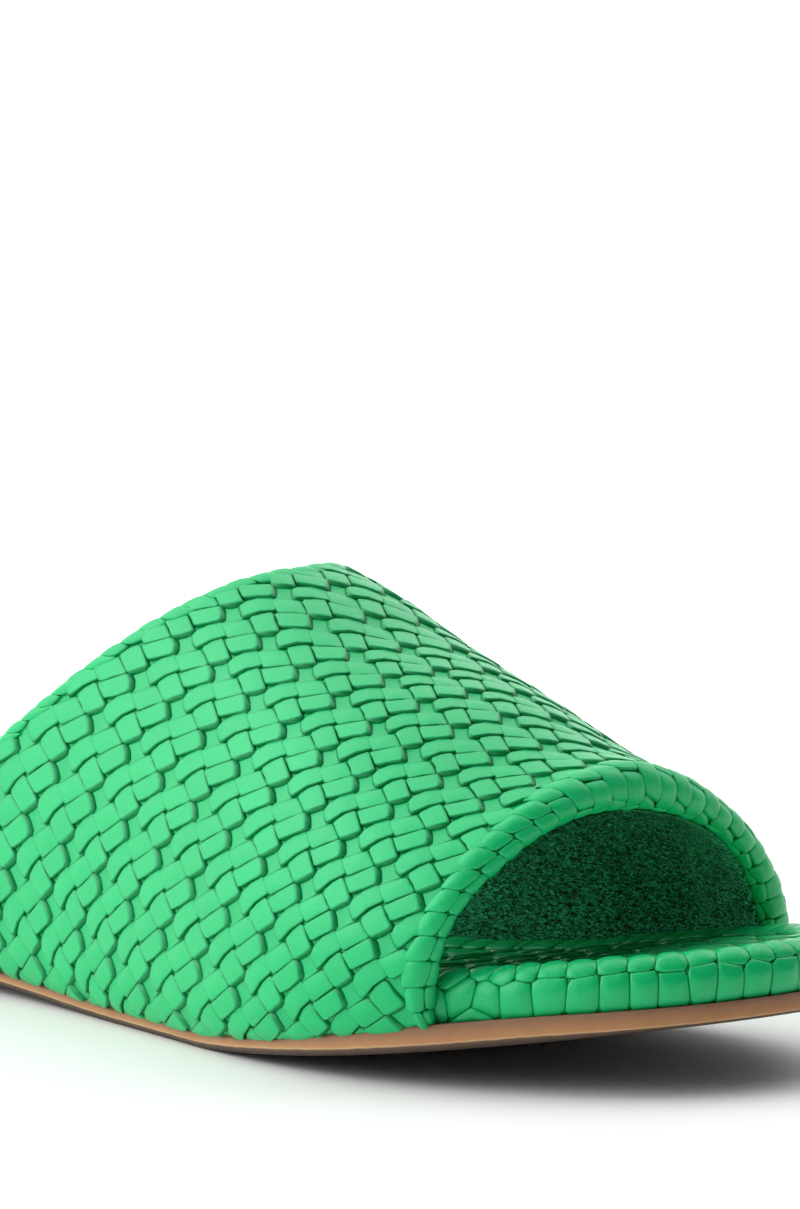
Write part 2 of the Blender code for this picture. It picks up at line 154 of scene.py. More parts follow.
def closed_curve(points: Array, count: int, ease: float) -> Array:
    """Evenly numbered points on the cubic curve that closes through the given points.

    Args:
        points: Corner points of the outline.
        count: How many points to give back.
        ease: Power of the point spacing that numbers the curve.

    Returns:
        The curve's points.
    """
    size = len(points)
    ahead = np.roll(points, -1, axis=0)
    gaps = np.linalg.norm(ahead - points, axis=1) ** ease
    matrix = np.zeros((size, size))
    right = np.zeros((size, 2))
    for k in range(size):
        matrix[k, k - 1] += gaps[k - 1]
        matrix[k, k] += 2.0 * (gaps[k - 1] + gaps[k])
        matrix[k, (k + 1) % size] += gaps[k]
        right[k] = (ahead[k] - points[k]) / gaps[k] - (points[k] - points[k - 1]) / gaps[k - 1]
    bend = np.linalg.solve(matrix, 6.0 * right)
    stops = np.concatenate(([0.0], np.cumsum(gaps)))
    places = np.linspace(0.0, stops[-1], count, endpoint=False)
    span = np.searchsorted(stops, places, side="right") - 1
    step = gaps[span][:, None]
    late = (places - stops[span])[:, None]
    early = step - late
    after = (span + 1) % size
    cubic = (bend[span] * early**3 + bend[after] * late**3) / (6.0 * step)
    near = (points[span] / step - bend[span] * step / 6.0) * early
    far = (points[after] / step - bend[after] * step / 6.0) * late
    return cubic + near + far


@dataclass
class SoleForm:
    """The sole's outline, toe spring and waist as the solid has them, with a thickness of its own."""

    length: float = 258.0
    centre_y: float = 1.15
    toe_tip_y: float = 10.0
    rows: tuple[OutlineRow, ...] = (
        OutlineRow(14.0, 23.0, 23.0),
        OutlineRow(40.0, 31.0, 30.5),
        OutlineRow(80.0, 33.5, 30.0),
        OutlineRow(120.0, 38.3, 31.5),
        OutlineRow(155.0, 44.5, 38.0),
        OutlineRow(183.0, 47.8, 43.5),
        OutlineRow(207.0, 44.5, 45.6),
        OutlineRow(230.0, 32.5, 43.0),
        OutlineRow(248.0, 16.5, 32.7),
    )
    samples: int = 720
    chunk: int = 4000
    ease: float = 0.75
    spring_start: float = 23.0
    spring_rise: float = 14.0
    spring_power: float = 1.26
    waist_front: float = -5.0
    heel_breast: float = -72.0
    heel_lift: float = 2.4
    thick_back: float = 3.4
    thick_toe: float = 4.9
    thicken_from: float = 40.0
    thicken_to: float = 85.0
    thin_tip: float = 1.1
    thin_from: float = 95.0
    outline: Array = field(init=False)
    outward: Array = field(init=False)
    toe_index: int = field(init=False)

    def __post_init__(self) -> None:
        """Work out the outline from the heel tip along the lateral side to the toe and back."""
        table = np.array(self.rows)
        lateral = np.column_stack((table[:, 0], -table[:, 1]))
        medial = np.column_stack((table[:, 0], table[:, 2]))
        knots = np.vstack(([(0.0, 0.0)], lateral, [(self.length, self.toe_tip_y)], medial[::-1]))
        curve = closed_curve(knots, self.samples, self.ease)
        first, last = curve[:, 0].min(), curve[:, 0].max()
        curve[:, 0] = (curve[:, 0] - first) * self.length / (last - first) - self.length / 2.0
        curve[:, 1] += self.centre_y
        self.outline = np.roll(curve, -int(np.argmin(curve[:, 0])), axis=0)
        self.toe_index = int(np.argmax(self.outline[:, 0]))
        run = np.roll(self.outline, -1, axis=0) - np.roll(self.outline, 1, axis=0)
        run /= np.linalg.norm(run, axis=1)[:, None]
        self.outward = np.column_stack((run[:, 1], -run[:, 0]))

    def lateral(self, x: Array) -> Array:
        """Y of the lateral edge."""
        half = self.outline[: self.toe_index + 1]
        return np.interp(x, half[:, 0], half[:, 1])

    def medial(self, x: Array) -> Array:
        """Y of the medial edge."""
        half = self.outline[self.toe_index :][::-1]
        return np.interp(x, half[:, 0], half[:, 1])

    def under(self, x: Array) -> Array:
        """Height of the underside without the heel: flat ball, toe spring and waist.

        Args:
            x: Places along the sole.

        Returns:
            Heights over the floor.
        """
        spring = np.clip((x - self.spring_start) / (self.length / 2.0 - self.spring_start), 0.0, 1.0)
        waist = smoothstep((self.waist_front - x) / (self.waist_front - self.heel_breast))
        return self.spring_rise * spring**self.spring_power + self.heel_lift * waist

    def over(self, x: Array) -> Array:
        """Height of the top face.

        Args:
            x: Places along the sole.

        Returns:
            Heights over the floor.
        """
        share = smoothstep((x - self.thicken_from) / (self.thicken_to - self.thicken_from))
        tip = smoothstep((x - self.thin_from) / (self.length / 2.0 - self.thin_from))
        thick = self.thick_back + (self.thick_toe - self.thick_back) * share - self.thin_tip * tip
        return self.under(x) + thick

    def ring_places(self, count: int) -> Array:
        """Outline samples for a ring that starts at the heel tip and passes the toe half way.

        Args:
            count: Even number of points in the ring.

        Returns:
            Indices into the outline.
        """
        halves = []
        for first, last in ((0, self.toe_index), (self.toe_index, self.samples)):
            halves.append(np.linspace(first, last, count // 2, endpoint=False))
        return np.concatenate(halves).round().astype(int) % self.samples

    def inside(self, points: Array) -> Array:
        """Distance of plan points from the outline, all of them taken as inside it.

        Args:
            points: X and Y of each point.

        Returns:
            A distance for each point.
        """
        found = np.empty(len(points))
        for start in range(0, len(points), self.chunk):
            part = points[start : start + self.chunk]
            gaps = part[:, None, :] - self.outline[None, ::2, :]
            found[start : start + self.chunk] = np.sqrt((gaps**2).sum(axis=2).min(axis=1))
        return found


@dataclass
class BandForm:
    """The band's outer face, rolled edges and inner face, a little nearer to the photo than the solid."""

    sole: SoleForm
    rows: tuple[SectionRow, ...] = (
        SectionRow(-100.0, 92.4, 2.73, 3.0, 10.0),
        SectionRow(-70.0, 89.5, 2.58, 2.9, 10.0),
        SectionRow(-35.0, 88.6, 2.78, 3.0, 10.0),
        SectionRow(0.0, 83.2, 2.47, 2.78, 10.0),
        SectionRow(30.0, 71.2, 2.5, 2.6, 6.0),
        SectionRow(60.0, 58.4, 2.15, 2.0, 2.0),
        SectionRow(80.0, 48.0, 2.05, 1.75, -0.3),
        SectionRow(97.0, 43.4, 1.95, 1.52, -2.2),
    )
    equator_rise: float = 9.5
    equator_overhang: float = 2.8
    foot_tuck: float = 3.7
    foot_sink: float = 0.5
    lean_power: float = 1.5
    arch_samples: int = 160
    tuck_samples: int = 16
    seat: float = -0.9
    toe_edge: tuple[EdgeRow, ...] = (
        EdgeRow(0.0, 84.0),
        EdgeRow(0.06, 82.8),
        EdgeRow(0.12, 83.7),
        EdgeRow(0.2, 86.7),
        EdgeRow(0.3, 89.6),
        EdgeRow(0.4, 91.1),
        EdgeRow(0.5, 91.6),
        EdgeRow(0.65, 91.0),
        EdgeRow(0.8, 89.3),
        EdgeRow(1.0, 86.4),
    )
    throat_edge: ThroatEdge = ThroatEdge(-92.8, -1.8, -88.8, 1.76)
    wall: float = 4.6
    wall_toe: tuple[WallRow, ...] = (
        WallRow(0.0, 4.6),
        WallRow(0.06, 5.0),
        WallRow(0.15, 4.1),
        WallRow(0.22, 5.2),
        WallRow(0.3, 6.1),
        WallRow(0.4, 7.3),
        WallRow(0.5, 8.6),
        WallRow(0.6, 8.0),
        WallRow(0.7, 6.9),
        WallRow(0.8, 7.3),
        WallRow(0.9, 8.2),
        WallRow(1.0, 5.4),
    )
    wall_toe_back: float = 0.14
    wall_foot: float = 2.6
    roll: float = 3.6
    roll_from_foot: float = 0.10
    across_count: int = 361
    back_count: int = 181
    cap_count: int = 16
    tangent_step: float = 0.01
    grid: Array = field(init=False)
    normals: Array = field(init=False)
    cap_length: Array = field(init=False)
    girth_x: Array = field(init=False)
    girth: Array = field(init=False)

    def __post_init__(self) -> None:
        """Lay a fine grid over the outer face and round both rolled edges."""
        self.girth_x = np.linspace(self.rows[0].x, self.rows[-1].x, self.back_count)
        y, z = self.sections(self.girth_x, np.zeros(self.back_count))
        self.girth = np.hypot(np.diff(y, axis=1), np.diff(z, axis=1)).sum(axis=1)
        across = np.linspace(0.0, 1.0, self.across_count)
        backs = np.linspace(1.0, 0.0, self.back_count)
        face = [self.points(across, np.full_like(across, back)) for back in backs]
        throat, toe = self.cap(across, 1.0), self.cap(across, 0.0)
        self.grid = np.array(throat[::-1] + face + toe)
        self.cap_length = np.array([
            np.linalg.norm(np.diff(np.array([start, *rows]), axis=0), axis=2).sum(axis=0)
            for start, rows in ((face[0], throat), (face[-1], toe))
        ])
        fore, side = np.gradient(self.grid, axis=0), np.gradient(self.grid, axis=1)
        normals = np.cross(fore, side)
        self.normals = normals / np.linalg.norm(normals, axis=2)[:, :, None]

    def section_value(self, name: str, x: Array) -> Array:
        """A section's height, squareness of a side or lean at X."""
        knots = np.array([row.x for row in self.rows])
        return natural_curve(knots, np.array([getattr(row, name) for row in self.rows]), x)

    def sections(self, x: Array, wall: Array) -> tuple[Array, Array]:
        """Sections from the lateral foot over the crest to the medial foot.

        Args:
            x: Place of each section.
            wall: Distance of each section inside the outer face, 0 for the face itself.

        Returns:
            Y and Z, a row for each section.
        """
        foot_in = np.where(wall > 0.0, self.wall_foot, 0.0)
        left = self.sole.lateral(x) - self.equator_overhang
        right = self.sole.medial(x) + self.equator_overhang
        half, middle = ((right - left) / 2.0 - wall)[:, None], ((right + left) / 2.0)[:, None]
        equator = (self.sole.over(x) + self.seat + self.equator_rise)[:, None]
        crest = (self.section_value("height", x) - self.equator_rise - wall)[:, None]
        angle = np.linspace(0.0, math.pi, self.arch_samples)[None, :]
        sides = [self.section_value(name, x)[:, None] for name in ("lateral", "medial")]
        power = 2.0 / np.where(angle < math.pi / 2.0, *sides)
        across = -np.sign(np.cos(angle)) * np.abs(np.cos(angle)) ** power
        rise = np.abs(np.sin(angle)) ** power
        lean = self.section_value("lean", x)[:, None]
        arch_y = middle + half * across + lean * rise**self.lean_power
        down = np.linspace(math.pi / 2.0, 0.0, self.tuck_samples, endpoint=False)[None, :]
        tuck = (self.foot_tuck + foot_in - wall)[:, None] * (1.0 - np.cos(down))
        drop = self.equator_rise * np.sin(down)
        y = np.concatenate((middle - half + tuck, arch_y, middle + half - tuck[:, ::-1]), axis=1)
        z = np.concatenate((equator - drop, equator + crest * rise, equator - drop[:, ::-1]), axis=1)
        return y, z

    def toe_x(self, share: Array) -> Array:
        """X of the toe edge at a share of the way from the lateral to the medial foot."""
        table = np.array(self.toe_edge)
        return natural_curve(table[:, 0], table[:, 1], np.clip(share, 0.0, 1.0))

    def throat_x(self, share: Array) -> Array:
        """X of the throat edge.

        Args:
            share: Share of the way from the lateral to the medial foot.

        Returns:
            X at each share.
        """
        edge = self.throat_edge
        share = np.clip(share, 0.0, 1.0)
        crest = np.sin(math.pi * share) ** edge.power
        straight = edge.lateral + (edge.medial - edge.lateral) * share
        return straight * (1.0 - crest) + edge.crest * crest

    def wall_at(self, across: Array, back: Array) -> Array:
        """Thickness of the padded wall: fuller along the toe edge, above the footbed.

        Args:
            across: Share of the way from the lateral to the medial foot.
            back: Share of the way from the toe edge to the throat edge.

        Returns:
            A thickness for each point.
        """
        near_toe = 1.0 - smoothstep(back / self.wall_toe_back)
        table = np.array(self.wall_toe)
        return self.wall + (natural_curve(table[:, 0], table[:, 1], across) - self.wall) * near_toe

    def points(self, across: Array, back: Array, inner: bool = False) -> Array:
        """Points of the band.

        Args:
            across: Share of the way from the lateral to the medial foot.
            back: Share of the way from the toe edge to the throat edge.
            inner: True for the inner face.

        Returns:
            One point a row.
        """
        toe, throat = self.toe_x(across), self.throat_x(across)
        x = toe + (throat - toe) * back
        y, z = self.sections(x, self.wall_at(across, back) if inner else np.zeros_like(x))
        run = np.hypot(np.diff(y, axis=1), np.diff(z, axis=1))
        length = np.concatenate((np.zeros((len(x), 1)), np.cumsum(run, axis=1)), axis=1)
        target = across * length[:, -1]
        k = np.clip((length < target[:, None]).sum(axis=1) - 1, 0, y.shape[1] - 2)
        row = np.arange(len(x))
        late = (target - length[row, k]) / (length[row, k + 1] - length[row, k])
        return np.column_stack((
            x,
            y[row, k] + (y[row, k + 1] - y[row, k]) * late,
            z[row, k] + (z[row, k + 1] - z[row, k]) * late,
        ))

    def cap(self, across: Array, back: float) -> list[Array]:
        """Rows of points round a rolled edge, from just past the outer face to the inner face.

        Args:
            across: Shares across.
            back: 0 for the toe edge, 1 for the throat edge.

        Returns:
            A list of rows.
        """
        here = np.full_like(across, back)
        beside = here + (self.tangent_step if back == 0.0 else -self.tangent_step)
        outer, inner = self.points(across, here), self.points(across, here, inner=True)
        ahead = outer - self.points(across, beside)
        ahead /= np.linalg.norm(ahead, axis=1)[:, None]
        from_foot = np.minimum(across, 1.0 - across)
        bulge = self.roll * np.sqrt(smoothstep(from_foot / self.roll_from_foot))
        rows = []
        for turn in np.linspace(0.0, math.pi, self.cap_count + 1)[1:]:
            middle = (outer + inner) / 2.0 + (outer - inner) / 2.0 * math.cos(turn)
            rows.append(middle + ahead * bulge[:, None] * math.sin(turn))
        return rows

    def lay(self, across: Array, along: Array) -> tuple[Array, Array]:
        """Points and normals of the outer face, with X carried on round the rolled edges.

        Args:
            across: Share of the way from the lateral to the medial foot.
            along: X on the face, and arc length past an edge where it is beyond it.

        Returns:
            Points and unit normals.
        """
        beyond = across - np.clip(across, 0.0, 1.0)
        across = across - beyond
        toe, throat = self.toe_x(across), self.throat_x(across)
        throat_cap, toe_cap = self.caps(across)
        on_face = np.clip((along - throat) / (toe - throat), 0.0, 1.0) * (self.back_count - 1)
        past_toe = np.clip((along - toe) / toe_cap, 0.0, 1.0)
        past_throat = np.clip((throat - along) / throat_cap, 0.0, 1.0)
        row = self.cap_count * (1.0 - past_throat + past_toe) + on_face
        column = across * (self.across_count - 1)
        r = np.clip(row.astype(int), 0, len(self.grid) - 2)
        c = np.clip(column.astype(int), 0, self.across_count - 2)
        late_r, late_c = (row - r)[:, None], (column - c)[:, None]
        found = []
        for table in (self.grid, self.normals):
            low = table[r, c] * (1.0 - late_c) + table[r, c + 1] * late_c
            high = table[r + 1, c] * (1.0 - late_c) + table[r + 1, c + 1] * late_c
            found.append(low * (1.0 - late_r) + high * late_r)
        inward = beyond * self.girth.mean()
        sink = np.minimum(np.abs(inward), self.foot_sink)
        under = np.column_stack((np.zeros_like(inward), -inward, -sink))
        return found[0] + under, found[1] / np.linalg.norm(found[1], axis=1)[:, None]

    def caps(self, across: Array) -> tuple[Array, Array]:
        """Distance round the throat roll and round the toe roll."""
        shares = np.linspace(0.0, 1.0, self.across_count)
        return np.interp(across, shares, self.cap_length[0]), np.interp(across, shares, self.cap_length[1])


@dataclass
class BedForm:
    """The footbed's rolled rim and dished top, a little higher than the solid's."""

    sole: SoleForm
    rows: tuple[RimRow, ...] = (
        RimRow(0.7, 0.0),
        RimRow(0.0, 3.4),
        RimRow(0.5, 6.9),
        RimRow(2.4, 8.9),
        RimRow(5.2, 9.2),
        RimRow(9.0, 8.5),
    )
    inset_band: float = 2.4
    inset_open: float = 0.7
    open_toe: float = 90.0
    open_heel: float = -98.0
    open_run: float = 10.0
    dish_depth: float = 0.9
    dish_end_run: float = 40.0

    def belly_inset(self, x: Array) -> Array:
        """How far the belly stays inside the sole's edge: less where no band covers it.

        Args:
            x: Places along the sole.

        Returns:
            An inset for each place.
        """
        toe = smoothstep((x - self.open_toe) / self.open_run)
        heel = smoothstep((self.open_heel - x) / self.open_run)
        return self.inset_band + (self.inset_open - self.inset_band) * np.maximum(toe, heel)

    def dish(self, x: Array, y: Array) -> Array:
        """How far the top sinks between its rims.

        Args:
            x: Places along the sole.
            y: Places across it.

        Returns:
            A depth for each place.
        """
        low, high = self.sole.lateral(x), self.sole.medial(x)
        share = np.clip((y - low) / np.maximum(high - low, 1.0), 0.0, 1.0)
        from_end = self.sole.length / 2.0 - np.abs(x)
        return self.dish_depth * np.sin(math.pi * share) ** 2 * smoothstep(from_end / self.dish_end_run)

    def top(self, x: Array, y: Array) -> Array:
        """Height of the top at plan points inside the rim's belly.

        Args:
            x: Places along the sole.
            y: Places across it.

        Returns:
            Heights over the floor.
        """
        inside = self.sole.inside(np.column_stack((x, y))) - self.belly_inset(x)
        crest = self.rows[1:]
        rise = np.interp(inside, [row.inset for row in crest], [row.rise for row in crest])
        flat = smoothstep((inside - crest[-2].inset) / (crest[-1].inset - crest[-2].inset))
        return self.sole.over(x) + SEAT + rise - self.dish(x, y) * flat


class Surface(Protocol):
    """Something that tiles are laid on."""

    def lay(self, u: Array, v: Array) -> tuple[Array, Array]:
        """Points and unit normals at the surface's own coordinates."""


class Crossing(Enum):
    """Kinds of strip crossing, numbered by (row - 2 * column) modulo 5."""

    PINCHED = 0
    RISING = 1
    LEVEL = 2
    ARCHED = 3
    PROUD = 4


class Sides(NamedTuple):
    """A value for each side of a crossing."""

    left: float
    right: float
    top: float
    bottom: float


class Corner(NamedTuple):
    """A corner of a crossing, in cells from its middle, and the share of each side that it rounds."""

    column: float
    row: float
    rounding: float = 0.10


def rounded_outline(corners: tuple[Corner, ...], bow: Sides, between: int = 1) -> Array:
    """Points round a four-sided tile with rounded corners and bowed sides.

    Args:
        corners: From the top left round to the bottom left.
        bow: How far the middle of each side stands out.
        between: Points on each side between its rounded corners.

    Returns:
        Two points for each corner and the points between.
    """
    places = np.array([(corner.column, corner.row) for corner in corners])
    bows = (bow.top, bow.right, bow.bottom, bow.left)
    outward = np.array([(0.0, -1.0), (1.0, 0.0), (0.0, 1.0), (-1.0, 0.0)])

    def side(number: int, share: float) -> Array:
        """A point on a side, which runs on from the corner with the same number."""
        straight = places[number] * (1.0 - share) + places[(number + 1) % 4] * share
        return straight + outward[number] * bows[number] * 4.0 * share * (1.0 - share)

    points = []
    for k, corner in enumerate(corners):
        cut = CORNER_CUT * corner.rounding
        points += [side(k - 1, 1.0 - cut), side(k, cut)]
        stops = np.linspace(corner.rounding, 1.0 - corners[(k + 1) % 4].rounding, between + 2)
        points += [side(k, stop) for stop in stops[1:-1]]
    return np.array(points)


def cushion(crown: float, drop: float, raised: Array, tuck: float = 0.0) -> Lift:
    """Relief of crowned tiles with rounded edges.

    Args:
        crown: Height of the middle over the edge.
        drop: How far the rounded edge falls.
        raised: Height of each tile.
        tuck: How far the side that comes first along the second coordinate dips.

    Returns:
        The relief as a function of offset and ring.
    """

    def lift(offset: Array, ring: Array) -> Array:
        """Height of each point of each tile.

        Args:
            offset: Distances from the tile's middle.
            ring: Ring of each point, 1 at the edge.

        Returns:
            Heights over the surface.
        """
        domed = crown * (1.0 - ring**2) - np.where(ring >= 1.0, drop, 0.0)
        reach = np.maximum(-offset[..., 1].min(axis=1, keepdims=True), 1e-6)
        dip = tuck * np.clip(-offset[..., 1] / reach, 0.0, 1.0) ** 2
        return raised[:, None] + domed[None, :] - dip

    return lift


@dataclass(frozen=True)
class CrossingShape:
    """Outline of a crossing in cells and its relief in millimetres.

    corners go round from the top left to the bottom left. bow is how far the middle of each side stands
    out, lift the height of each side over the base, drop how far its rounded edge falls and flare how far
    the foot of its wall stands out. A side that tucks under a neighbour lies low and reaches below it.
    shaded is how much painted shade a crossing in a pit gets all over.
    """

    corners: tuple[Corner, Corner, Corner, Corner]
    lift: Sides
    drop: Sides
    bow: Sides = Sides(0.0, 0.0, 0.0, 0.0)
    flare: Sides = Sides(0.03, 0.03, 0.03, 0.03)
    base: float = 0.0
    crown: float = 0.05
    shaded: float = 0.0

    def outline(self) -> Array:
        """Twelve points round the crossing."""
        return rounded_outline(self.corners, self.bow)

    @staticmethod
    def nearness(offset: Array) -> list[Array]:
        """How near points lie to the left, right, top and bottom sides, 1 at half a cell out."""
        u, v = 2.0 * offset[..., 0], 2.0 * offset[..., 1]
        return [np.maximum(w, 0.0) for w in (-u, u, -v, v)]

    def along_sides(self, offset: Array, values: Sides) -> Array:
        """Blend of the sides' values at points near the edge."""
        near = [weight**4 + 1e-6 for weight in self.nearness(offset)]
        return sum(weight * value for weight, value in zip(near, values)) / sum(near)

    def skirt(self, outline: Array) -> Array:
        """Outline of the foot of the walls."""
        size = np.linalg.norm(outline, axis=-1, keepdims=True)
        return outline * (1.0 + self.along_sides(outline, self.flare)[..., None] / size)

    def heights(self, offset: Array, share: Array) -> Array:
        """Relief of a tile.

        Args:
            offset: Distances from the cell's middle in cells, the last axis being column and row.
            share: Ring of each point, 1 at the edge and less inside.

        Returns:
            Heights over the surface.
        """
        weights = [np.minimum(weight, 1.0) for weight in self.nearness(offset)]
        column, row = np.maximum(weights[0], weights[1]), np.maximum(weights[2], weights[3])
        height = self.base + self.crown * ((1.0 - column**2) * (1.0 - row**2))
        for weight, lift in zip(weights, self.lift):
            height = height + lift * weight**2
        return height - np.where(share >= 1.0, self.along_sides(offset, self.drop), 0.0)


SHAPES: dict[Crossing, CrossingShape] = {
    Crossing.PINCHED: CrossingShape(
        (Corner(-0.62, -0.62), Corner(0.50, -0.66), Corner(0.50, 0.44), Corner(-0.56, 0.44)),
        lift=Sides(0.0, 0.0, -0.05, 0.14),
        drop=Sides(0.05, 0.05, 0.05, 0.02),
        base=-0.80,
        crown=0.0,
        # Painted shade all over the pinched crossing, which lies in a pit.
        shaded=0.25,
    ),
    Crossing.RISING: CrossingShape(
        (Corner(-0.49, -0.62, 0.06), Corner(0.56, -0.54, 0.06), Corner(0.68, 0.42), Corner(-0.40, 0.38)),
        lift=Sides(0.08, -0.20, -0.30, -0.10),
        drop=Sides(0.22, 0.10, 0.20, 0.10),
        bow=Sides(0.02, 0.0, 0.0, 0.0),
        crown=0.14,
    ),
    Crossing.LEVEL: CrossingShape(
        (Corner(-0.52, -0.61, 0.08), Corner(0.70, -0.57), Corner(0.60, 0.31, 0.13), Corner(-0.46, 0.21)),
        lift=Sides(0.04, 0.02, -0.03, 0.08),
        drop=Sides(0.22, 0.22, 0.20, 0.22),
        bow=Sides(0.0, 0.05, 0.0, 0.03),
        flare=Sides(0.02, 0.22, 0.02, 0.04),
        base=0.12,
        crown=0.14,
    ),
    Crossing.ARCHED: CrossingShape(
        (Corner(-0.64, -0.46, 0.22), Corner(0.62, -0.70), Corner(0.64, 0.20), Corner(-0.67, 0.43)),
        lift=Sides(0.04, -0.22, -0.20, 0.10),
        drop=Sides(0.22, 0.10, 0.16, 0.22),
        bow=Sides(0.05, 0.0, 0.12, -0.07),
        flare=Sides(0.10, 0.03, 0.03, 0.04),
        base=0.03,
        crown=0.16,
    ),
    Crossing.PROUD: CrossingShape(
        (Corner(-0.44, -0.54, 0.14), Corner(0.47, -0.76), Corner(0.52, 0.49), Corner(-0.34, 0.47, 0.12)),
        lift=Sides(0.06, -0.16, -0.22, 0.18),
        drop=Sides(0.22, 0.14, 0.16, 0.22),
        bow=Sides(-0.02, 0.0, 0.08, 0.02),
        flare=Sides(0.02, 0.05, 0.02, 0.20),
        base=0.06,
        crown=0.14,
    ),
}


@dataclass
class Weave:
    """Lattice of two strip sets: columns that cross the rows, on an unrolled sheet.

    filled is the share of a cell that its tile fills, and the spreads are the small differences between
    tiles.
    """

    cross_pitch: float = 6.941
    cross_angle: float = 55.430
    cross_phase: float = 1.038
    run_pitch: float = 4.478
    run_angle: float = -54.598
    run_phase: float = -6.055
    repeat: int = 5
    shift: int = 2
    filled: float = 0.975
    outline_spread: float = 0.012
    height_spread: float = 0.035
    tilt_spread: float = 0.05

    def sheet(self, i: Array, j: Array) -> tuple[Array, Array]:
        """Places on the sheet.

        Args:
            i: Column numbers.
            j: Row numbers.

        Returns:
            X and the distance from the crest line.
        """
        cross, run = math.radians(self.cross_angle), math.radians(self.run_angle)
        first = (i - self.cross_phase) * self.cross_pitch
        second = (j - self.run_phase) * self.run_pitch
        size = math.cos(cross) * math.sin(run) - math.sin(cross) * math.cos(run)
        x = (first * math.sin(run) - second * math.sin(cross)) / size
        across = (second * math.cos(cross) - first * math.cos(run)) / size
        return x, across

    def kind(self, i: Array, j: Array) -> Array:
        """Number of the crossing's kind."""
        return (j - self.shift * i) % self.repeat


def cell_numbers(columns: int, rows: int) -> tuple[Array, Array]:
    """Column and row numbers of a block of cells round the first one."""
    grids = np.meshgrid(np.arange(-columns, columns + 1), np.arange(-rows, rows + 1))
    return grids[0].ravel(), grids[1].ravel()


@dataclass
class BandSheet:
    """The band's outer face in columns and rows of the weave.

    bend_along and bend_across bend the straight lattice to the photograph's weave. They hold the factors
    of the terms of degree 2, 3 and 4, a line for each degree, and come from a fit to that weave.
    """

    form: BandForm
    weave: Weave
    bend_middle: tuple[float, float] = (8.0, -45.0)
    bend_reach: float = 70.0
    bend_along: tuple[float, ...] = (
        2.51, -1.09, -21.45,
        -1.44, -5.20, -26.75, -23.33,
        -26.93, 5.08, 23.57, -2.69, 13.33,
    )
    bend_across: tuple[float, ...] = (
        5.53, -1.12, -9.57,
        -9.98, -0.57, 4.68, 10.59,
        6.22, -2.85, -2.78, 2.36, 11.14,
    )
    edge_margin: float = 0.5
    columns: int = 40
    rows: int = 60

    def spread(self, i: Array, j: Array) -> tuple[Array, Array]:
        """Shares across the band and X along it.

        Args:
            i: Column numbers.
            j: Row numbers.

        Returns:
            The shares and X.
        """
        x, arc = self.weave.sheet(i, j)
        u = np.tanh((x - self.bend_middle[0]) / self.bend_reach)
        v = np.tanh((arc - self.bend_middle[1]) / self.bend_reach)
        terms = np.array([u**(degree - k) * v**k for degree in (2, 3, 4) for k in range(degree + 1)])
        x = x + np.tensordot(self.bend_along, terms, axes=1)
        arc = arc + np.tensordot(self.bend_across, terms, axes=1)
        return 0.5 + arc / np.interp(x, self.form.girth_x, self.form.girth), x

    def lay(self, u: Array, v: Array) -> tuple[Array, Array]:
        """Points and unit normals at columns and rows."""
        return self.form.lay(*self.spread(u, v))

    def cells(self, margin: float) -> Array:
        """Columns and rows of the cells whose middles lie on the face, clear of its rolled edges.

        Args:
            margin: How far past a foot a middle may lie, as a share of the girth.

        Returns:
            A row of column and row number for each cell.
        """
        i, j = cell_numbers(self.columns, self.rows)
        across, along = self.spread(i, j)
        kept = (across > -margin) & (across < 1.0 + margin)
        kept &= along < self.form.toe_x(across) - self.edge_margin
        kept &= along > self.form.throat_x(across) + self.edge_margin
        return np.column_stack((i[kept], j[kept]))


class StripPart(NamedTuple):
    """A stretch of a strip round a roll, in shares of the way round, and the slant of its ends."""

    start: float
    end: float
    slant_start: float
    slant_end: float


@dataclass
class RollSheet:
    """A rolled edge of the band: strip numbers along the edge and distance round the roll."""

    form: BandForm
    at_toe: bool
    pitch: float = 4.9
    slope: float = 0.5
    slope_ease: float = 2.0
    samples: int = 721
    rows: Array = field(init=False)
    shares: Array = field(init=False)

    def __post_init__(self) -> None:
        """Share the edge out among strips of one width."""
        self.shares = np.linspace(0.0, 1.0, self.samples)
        edge = self.form.lay(self.shares, self.edge_x(self.shares))[0]
        run = np.concatenate(([0.0], np.cumsum(np.linalg.norm(np.diff(edge, axis=0), axis=1))))
        self.rows = run / run[-1] * round(run[-1] / self.pitch) - 0.5

    def edge_x(self, across: Array) -> Array:
        """X of the edge that is rolled."""
        return self.form.toe_x(across) if self.at_toe else self.form.throat_x(across)

    def lay(self, u: Array, v: Array) -> tuple[Array, Array]:
        """Lay points on the roll.

        Args:
            u: Strip numbers.
            v: Distances past the edge.

        Returns:
            The points and their unit normals.
        """
        across = np.interp(u, self.rows, self.shares)
        back = np.minimum(v, 0.0)
        turned = self.slope * back * back / (back - self.slope_ease)
        girth = np.interp(self.edge_x(across), self.form.girth_x, self.form.girth)
        across = across + (turned if self.at_toe else -turned) / girth
        start = self.edge_x(across)
        return self.form.lay(across, start + v if self.at_toe else start - v)

    def round_length(self, u: Array) -> Array:
        """Distance round the roll at strip numbers."""
        return self.form.caps(np.interp(u, self.rows, self.shares))[int(self.at_toe)]


